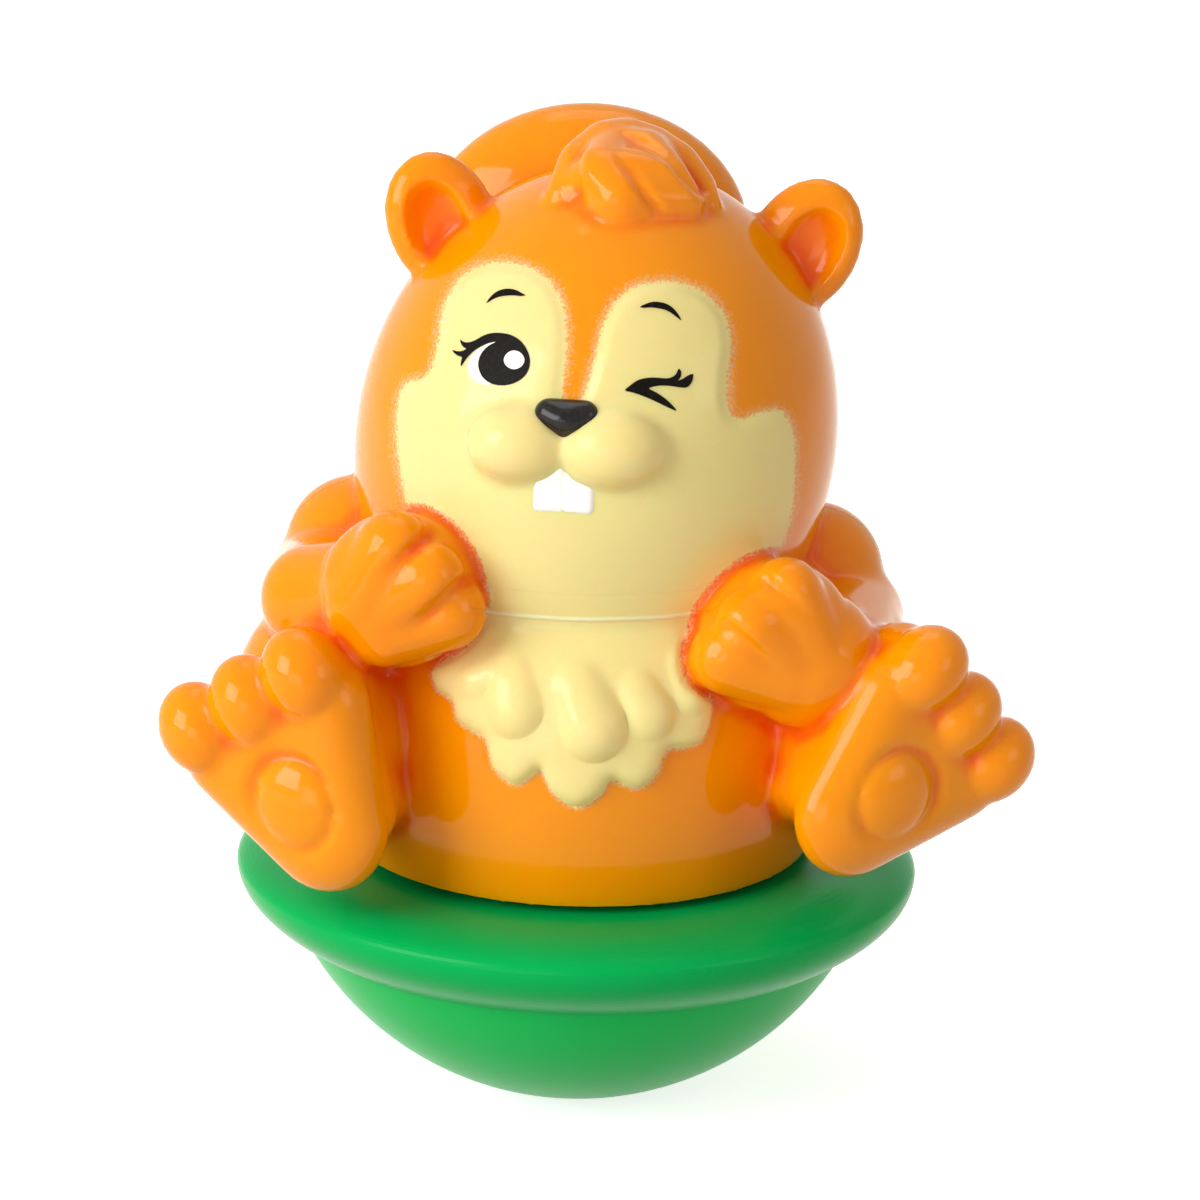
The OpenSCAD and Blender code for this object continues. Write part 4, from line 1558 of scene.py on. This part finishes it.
    def skin(self) -> bpy.types.Object:
        """Return the outside of the whole figure as one closed skin.

        Returns:
            The skin.
        """
        large: list[Form] = [self.head(), self.body()]
        for side in Side:
            large += [*self.arm(side), *self.arm_flesh(side), *self.leg(side)]
            large += [self.foot(side), self.heel(side)]
        small: list[Form] = [*self.tuft(), *self.muzzle(), *self.ruff(), *self.tail()]
        for side in Side:
            small += [*self.hand(side), *self.toes(side), self.ear(side)]
        trunk = moulded(large, voxel_mm=self.trunk_voxel, rounds=8, segments=96)
        piece = joined([trunk, *(form.add(40) for form in small)])
        remelt(piece, self.voxel, rounds=2)
        cuts = [self.tail_dish()]
        for side in Side:
            cuts += [self.ear_cup(side), self.pad_dish(side)]
        carve(piece, moulded(cuts, voxel_mm=self.cut_voxel, rounds=1, segments=64), Solver.CUT)
        wall = self.head(self.skin_inset).add(128)
        piece = joined([piece, wall, *(self.pad(side).add(40) for side in Side)])
        remelt(piece, self.voxel, rounds=3)
        self.raise_fronts(piece)
        self.level(piece, self.figure_z)
        return piece

    def split(self, whole: bpy.types.Object, half: Half) -> bpy.types.Object:
        """Return a copy of the figure's front or rear half, a hair short of the parting plane.

        Args:
            whole: the whole figure.
            half: half to keep.

        Returns:
            The half.
        """
        pick([whole])
        bpy.ops.object.duplicate()
        piece = bpy.context.active_object
        side = self.block_side * MM
        edge = (self.part_y + half.value * self.seam) * MM
        bpy.ops.mesh.primitive_cube_add(size=side, location=(0, edge + half.value * side / 2, side / 4))
        block = bpy.context.active_object
        settle(block)
        carve(piece, block, Solver.KEEP)
        return piece

    def build(self) -> dict[Half, bpy.types.Object]:
        """Model both shells, paint them and set them in the frame.

        Returns:
            The piece of each half.
        """
        whole = self.skin()
        carve(whole, self.hollow(), Solver.CUT)
        carve(whole, self.hub(), Solver.CUT)
        carve(whole, self.rods(self.well_r, self.well_floor, 2 * self.body_r), Solver.CUT)
        carve(whole, self.rods(self.screw_r + self.screw_gap, -self.screw_l, self.body_r), Solver.CUT)
        shells = {half: self.split(whole, half) for half in Half}
        bpy.data.objects.remove(whole)
        material = self.finish.make()
        for half, piece in shells.items():
            piece.name = f"squirrel_{half.name.lower()}"
            self.dress(piece, material)
            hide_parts(f"{half.name.lower()}_shell")
            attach(piece, "figure")
            LOG.info("%s: %d faces", piece.name, len(piece.data.polygons))
        return shells

    def dress(self, piece: bpy.types.Object, material: bpy.types.Material) -> None:
        """Give a shell its finish and the attributes that the paint, the ridge with its painted highlight and
        the painted fold shade follow.

        Args:
            piece: piece to work on.
            material: material to use.
        """
        points = places(piece)
        cream = piece.data.attributes.new(self.finish.attribute, "FLOAT", "POINT")
        cream.data.foreach_set("value", self.cream_depth(points))
        # distance from the neck ridge, which places its bump and its painted highlight
        neck = piece.data.attributes.new(self.finish.line_attribute, "FLOAT", "POINT")
        neck.data.foreach_set("value", self.neck_gap(points))
        # fold depth, which places the painted fold shade
        painted_fold_shade = piece.data.attributes.new(self.finish.crease_attribute, "FLOAT", "POINT")
        painted_fold_shade.data.foreach_set("value", folds(piece, self.fold_rounds))
        piece.data.materials.clear()
        piece.data.materials.append(material)
        pick([piece])
        bpy.ops.object.shade_smooth_by_angle(angle=math.radians(self.crisp_angle))


@dataclass
class FaceTrim:
    """Nose and front teeth, moulded with the face and painted."""

    shells: SquirrelShells
    nose_ink: Ink
    tooth_ink: Ink
    nose_rise: float = 18.5
    nose_lobe_out: float = 1.9
    nose_lobe_rise: float = 0.5
    nose_lobe_r: float = 1.75
    nose_tip_drop: float = 1.3
    nose_tip_r: float = 1.3
    nose_core_rise: float = 0.2
    nose_core_half: Triple = (2.8, 2.6, 1.9)
    nose_voxel: float = 0.15
    tooth_rise: float = 8.0
    tooth_w: float = 3.6
    tooth_h: float = 5.6
    tooth_edge: float = 0.9
    tooth_gap_share: float = 0.5
    tooth_root: float = 2.2
    tooth_sunk_share: float = 0.98
    tooth_voxel: float = 0.12

    def nose(self) -> bpy.types.Object:
        """Return the nose: a rounded triangle that bulges from the face.

        Returns:
            The nose.
        """
        turn = -self.shells.face_turn
        at = self.shells.on_head(turn, self.nose_rise)
        up = np.array([0.0, 0.0, 1.0])
        across = np.array([math.cos(math.radians(turn)), math.sin(math.radians(turn)), 0.0])
        top = at + self.nose_lobe_rise * up
        lobes = [ball(top + way * self.nose_lobe_out * across, self.nose_lobe_r) for way in (-1, 1)]
        tip = ball(at - self.nose_tip_drop * up, self.nose_tip_r)
        core = Egg(at + self.nose_core_rise * up, self.nose_core_half)
        return moulded([Limb((*lobes, tip, core))], self.nose_voxel, rounds=4, segments=40)

    def teeth(self) -> bpy.types.Object:
        """Return the two front teeth, side by side.

        Returns:
            The teeth.
        """
        r = self.tooth_edge
        spin = Matrix.Rotation(math.radians(-self.shells.face_turn), 3, "Z")
        at = self.shells.on_head(-self.shells.face_turn, self.tooth_rise, self.tooth_sunk_share)
        forms = []
        for side in Side:
            corners = [(side.value * x, 0.0, z) for x in (self.tooth_gap_share * r, self.tooth_w - r)
                       for z in (r - self.tooth_h, self.tooth_root)]
            forms.append(Limb(tuple(ball(at + np.array(spin @ Vector(c)), r) for c in corners)))
        return moulded(forms, self.tooth_voxel, rounds=2, segments=24)

    def build(self) -> None:
        """Model nose and teeth and set them on the figure."""
        trims = (("nose", self.nose(), self.nose_ink), ("teeth", self.teeth(), self.tooth_ink))
        for name, piece, ink in trims:
            piece.name = name
            piece.data.materials.clear()
            piece.data.materials.append(ink.make())
            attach(piece, "figure")
            LOG.info("%s: %d faces", name, len(piece.data.polygons))


class Layer(Enum):
    """Height of a print's layers above the face, in millimetres."""

    WHITE = 0.03
    BLACK = 0.05
    GLINT = 0.07


@dataclass
class FacePrint:
    """Pad print of the open eye, the wink and the brows. Outlines are in the photograph's pixels."""

    camera: PhotoCamera
    face: bpy.types.Object
    black: Ink
    white: Ink
    film: float = 0.03
    crisp_angle: float = 40.0
    eye_black: Outline = (
        (460.4, 339.6), (463.2, 341.6), (467.2, 342.6), (472.4, 341.6), (477.2, 339.4), (482.4, 336.4),
        (488.4, 334.0), (495.0, 333.0), (502.0, 333.2), (509.0, 334.4), (515.6, 337.2), (521.0, 341.2),
        (525.2, 346.4), (528.2, 352.4), (530.0, 359.0), (529.8, 365.0), (528.0, 371.0), (524.4, 376.4),
        (519.2, 380.6), (513.0, 383.6), (506.4, 385.2), (499.6, 385.4), (493.0, 384.2), (487.4, 381.4),
        (483.0, 377.4), (480.2, 372.4), (478.6, 366.8), (478.8, 361.0), (480.6, 355.4), (484.0, 350.4),
        (489.0, 345.8), (496.0, 342.0), (490.0, 343.0), (483.6, 345.4), (477.6, 348.6), (472.0, 352.8),
        (467.4, 357.6), (464.0, 362.4), (461.4, 366.4), (461.2, 362.4), (462.2, 357.4), (458.4, 356.0),
        (454.8, 353.4), (452.8, 350.2), (457.0, 351.2), (462.0, 351.2), (466.4, 349.0), (464.0, 347.4),
        (461.6, 344.2),
    )
    eye_white: Outline = (
        (496.0, 342.0), (484.0, 345.5), (476.0, 351.0), (470.0, 358.5), (467.8, 366.0), (469.4, 374.5),
        (474.0, 380.5), (481.0, 383.6), (490.0, 384.5), (498.0, 376.0), (498.0, 356.0),
    )
    eye_glint: Outline = (
        (514.4, 350.6), (521.4, 353.4), (524.8, 360.0), (521.6, 366.6), (514.4, 369.4), (507.2, 366.6),
        (504.0, 360.0), (507.4, 353.4),
    )
    left_brow: Outline = (
        (486.6, 303.0), (490.0, 298.0), (496.0, 292.4), (503.0, 289.6), (510.0, 289.0), (517.0, 290.6),
        (522.0, 293.4), (525.6, 295.4), (521.0, 296.2), (514.0, 295.6), (507.0, 295.8), (500.0, 296.8),
        (494.0, 299.0), (489.0, 302.0),
    )
    right_brow: Outline = (
        (640.0, 307.0), (646.0, 304.0), (653.0, 302.0), (660.0, 302.4), (667.0, 304.4), (673.0, 308.4),
        (678.0, 314.4), (681.0, 320.4), (677.0, 317.6), (671.0, 313.0), (665.0, 310.0), (658.0, 308.4),
        (651.0, 307.6), (644.0, 308.0),
    )
    wink: Outline = (
        (625.0, 390.4), (630.0, 385.6), (637.0, 380.6), (644.0, 378.4), (652.0, 377.6), (660.0, 378.0),
        (667.0, 378.4), (672.0, 377.0), (676.0, 374.0), (678.6, 368.8), (681.0, 372.0), (680.4, 377.0),
        (678.0, 380.4), (682.4, 379.0), (687.0, 376.0), (692.6, 374.0), (692.4, 380.0), (689.6, 385.0),
        (685.6, 387.6), (680.0, 387.4), (673.0, 386.4), (665.0, 385.6), (657.0, 386.0), (649.0, 388.4),
        (656.0, 392.4), (663.0, 397.0), (670.0, 403.0), (676.4, 410.6), (669.0, 408.0), (660.0, 403.6),
        (650.0, 399.0), (640.0, 395.0), (632.0, 392.4),
    )

    def lay(self, name: str, outline: tuple[Pixel, ...], ink: bpy.types.Material, layer: Layer) -> None:
        """Lay a thin film of ink on the face inside an outline.

        Args:
            name: name of the piece.
            outline: corners of the outline in pixels.
            ink: material of the film.
            layer: height of the film above the face.
        """
        curve = smooth_outline(outline, 3)
        deselect()
        bpy.ops.mesh.primitive_circle_add(vertices=len(curve), radius=1.0, fill_type="NGON")
        piece = bpy.context.active_object
        piece.name = name
        for vertex, (column, row) in zip(piece.data.vertices, curve):
            vertex.co = (column, -row, 0)
        bpy.ops.object.mode_set(mode="EDIT")
        bpy.ops.mesh.select_all(action="SELECT")
        bpy.ops.mesh.quads_convert_to_tris(ngon_method="BEAUTY")
        bpy.ops.mesh.subdivide(number_cuts=3)
        bpy.ops.mesh.normals_make_consistent(inside=False)
        bpy.ops.object.mode_set(mode="OBJECT")
        tree = BVHTree.FromPolygons([v.co for v in self.face.data.vertices],
                                    [p.vertices for p in self.face.data.polygons])
        eye = Vector(self.camera.spot()) * MM
        for vertex in piece.data.vertices:
            hit, normal, _, _ = tree.ray_cast(eye, self.camera.ray((vertex.co.x, -vertex.co.y)))
            vertex.co = hit + normal * layer.value * MM
        apply(piece, "SOLIDIFY", thickness=self.film * MM, offset=-1.0)
        piece.data.materials.append(ink)
        bpy.ops.object.shade_smooth_by_angle(angle=math.radians(self.crisp_angle))
        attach(piece, "figure")
        LOG.info("%s: %d faces", name, len(piece.data.polygons))

    def build(self) -> None:
        """Print all of the face."""
        black, white = self.black.make(), self.white.make()
        self.lay("eye_white", self.eye_white, white, Layer.WHITE)
        self.lay("eye_black", self.eye_black, black, Layer.BLACK)
        self.lay("eye_glint", self.eye_glint, white, Layer.GLINT)
        self.lay("left_brow", self.left_brow, black, Layer.BLACK)
        self.lay("right_brow", self.right_brow, black, Layer.BLACK)
        self.lay("wink", self.wink, black, Layer.BLACK)


# Base and inside


@dataclass
class RockerBase:
    """Bowl, rim and weight: the frame's own solids, with their finishes."""

    bowl: MouldedPlastic
    rim: MouldedPlastic
    weight: Metal
    screws: Metal

    def dress(self) -> None:
        """Give each piece of the base its finish."""
        finish("base_bowl", self.bowl.make())
        finish("base_rim", self.rim.make())
        finish("ballast_weight", self.weight.make())
        steel = self.screws.make()
        for node in ("ballast_screws", "rim_screws", "shell_screws", "chime_screws"):
            finish(node, steel)


@dataclass
class ChimeWorks:
    """Hammer chime inside the figure: the frame's own solids, with their finishes."""

    plastic: MouldedPlastic
    steel: Metal
    brass: Metal

    def dress(self) -> None:
        """Give each piece of the chime its finish."""
        plastic, steel = self.plastic.make(), self.steel.make()
        for node in ("chime_frame", "hammer_arm"):
            finish(node, plastic)
        for node in ("chime_rods", "hammer_pin"):
            finish(node, steel)
        finish("hammer_head", self.brass.make())


def finish(node: str, material: bpy.types.Material) -> None:
    """Put a material on one of the frame's nodes.

    Args:
        node: name of the frame's node.
        material: material to use.
    """
    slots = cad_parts[node].data.materials
    slots.clear()
    slots.append(material)
    LOG.info("%s: %s", node, material.name)


# Studio


@dataclass
class Studio:
    """Pale floor, soft lamps and a white surround."""

    floor_side: float = 6.0
    floor_glow: float = 0.72
    sky: float = 0.42
    sky_tint: str = "#FFF2D6"
    paper: str = "#F4F4F4"
    dull: str = "#C8C8C8"
    floor_z: float = -0.0002
    lamps: tuple[tuple[str, Triple, float, float], ...] = (
        ("key_left", (-0.78, -0.50, 0.44), 0.6, 9.0),
        ("low_front", (-0.40, -0.95, 0.08), 0.5, 2.0),
        ("fill_right", (0.75, -0.55, 0.40), 0.4, 1.1),
        ("top_back", (0.05, 0.35, 0.95), 0.5, 1.3),
    )
    aim: Triple = (0.0, 0.0, 0.06)

    @staticmethod
    def seen(tree: bpy.types.NodeTree) -> Socket:
        """Return one for rays that come straight from the camera or by a mirror or clear piece, else zero.

        Args:
            tree: node tree of the material.

        Returns:
            The socket that gives it.
        """
        path = add(tree, "ShaderNodeLightPath")
        shiny = reckon(tree, "MAXIMUM", path.outputs["Is Camera Ray"], path.outputs["Is Glossy Ray"])
        return reckon(tree, "MAXIMUM", shiny, path.outputs["Is Transmission Ray"])

    def floor(self) -> None:
        """Lay the floor: white paper with the toy's shadow to the eye, a quiet grey for other light."""
        deselect()
        bpy.ops.mesh.primitive_plane_add(size=self.floor_side, location=(0, 0, self.floor_z))
        plane = bpy.context.active_object
        plane.name = "floor"
        material, tree = blank("paper_floor")
        dull = add(tree, "ShaderNodeBsdfDiffuse", {"Color": linear(self.dull)})
        sheet = add(tree, "ShaderNodeBsdfDiffuse", {"Color": linear(self.paper)})
        glow = add(tree, "ShaderNodeEmission", {"Strength": self.floor_glow})
        bright = add(tree, "ShaderNodeAddShader", {0: sheet.outputs[0], 1: glow.outputs[0]})
        mix = add(tree, "ShaderNodeMixShader", {0: self.seen(tree), 1: dull.outputs[0], 2: bright.outputs[0]})
        add(tree, "ShaderNodeOutputMaterial", {"Surface": mix.outputs[0]})
        plane.data.materials.append(material)

    def surround(self) -> None:
        """Light the room evenly and show it white to the camera and in reflections."""
        world = bpy.data.worlds.new("studio")
        bpy.context.scene.world = world
        world.use_nodes = True
        tree = world.node_tree
        tree.nodes.clear()
        soft = add(tree, "ShaderNodeBackground", {"Color": linear(self.sky_tint), "Strength": self.sky})
        white = add(tree, "ShaderNodeBackground", {"Color": linear("#FFFFFF"), "Strength": 1.0})
        mix = add(tree, "ShaderNodeMixShader", {0: self.seen(tree), 1: soft.outputs[0], 2: white.outputs[0]})
        add(tree, "ShaderNodeOutputWorld", {"Surface": mix.outputs[0]})

    def light(self) -> None:
        """Hang the soft lamps round the toy."""
        for name, place, size, power in self.lamps:
            lamp = bpy.data.lights.new(name, "AREA")
            lamp.size = size
            lamp.energy = power
            holder = bpy.data.objects.new(name, lamp)
            bpy.context.collection.objects.link(holder)
            holder.location = place
            holder.rotation_euler = (Vector(self.aim) - Vector(place)).to_track_quat("-Z", "Y").to_euler()

    def build(self) -> None:
        """Set up the studio."""
        bpy.context.scene.view_settings.view_transform = "Standard"
        self.floor()
        self.surround()
        self.light()


def main() -> None:
    """Build the toy and its studio."""
    logging.basicConfig(level=logging.INFO, format="%(name)s %(message)s")
    camera = PhotoCamera()
    camera.build()
    Studio().build()
    RockerBase(
        bowl=MouldedPlastic("abs_bowl_green", "#18C05C", "#12B452", roughness=0.3, shine=0.07, through=0.15),
        rim=MouldedPlastic("abs_rim_green", "#00B259", "#00A54F", roughness=0.25, shine=0.08, through=0.1),
        weight=Metal("cast_iron", "#4A4A4D", "#5A5754", 0.6, 0.8, relief=0.4),
        screws=Metal("zinc_plated_steel", "#B9BCC0", "#A8ABB0", 0.3, 0.3),
    ).dress()
    ChimeWorks(
        plastic=MouldedPlastic("natural_abs", "#ECEBE2", "#E4E2D6", roughness=0.4),
        steel=Metal("drawn_steel", "#C2C4C8", "#B0B3B8", 0.2, 0.15, stretch=12.0),
        brass=Metal("turned_brass", "#CDA84F", "#B9923C", 0.25, 0.2),
    ).dress()
    shells = SquirrelShells(camera, SprayedPlastic("abs_orange_sprayed_cream"))
    halves = shells.build()
    FaceTrim(shells, Ink("nose_enamel", "#14110F", "#2A2420", 0.2),
             Ink("tooth_enamel", "#FBFAFA", "#F2F0F1", 0.3)).build()
    FacePrint(camera, halves[Half.FRONT], Ink("black_pad_ink", "#110E0C", "#211D19", 0.4, shine=0.05),
              Ink("white_pad_ink", "#F3F1EA", "#E9E6DC", 0.4)).build()


if __name__ == "__main__":
    main()
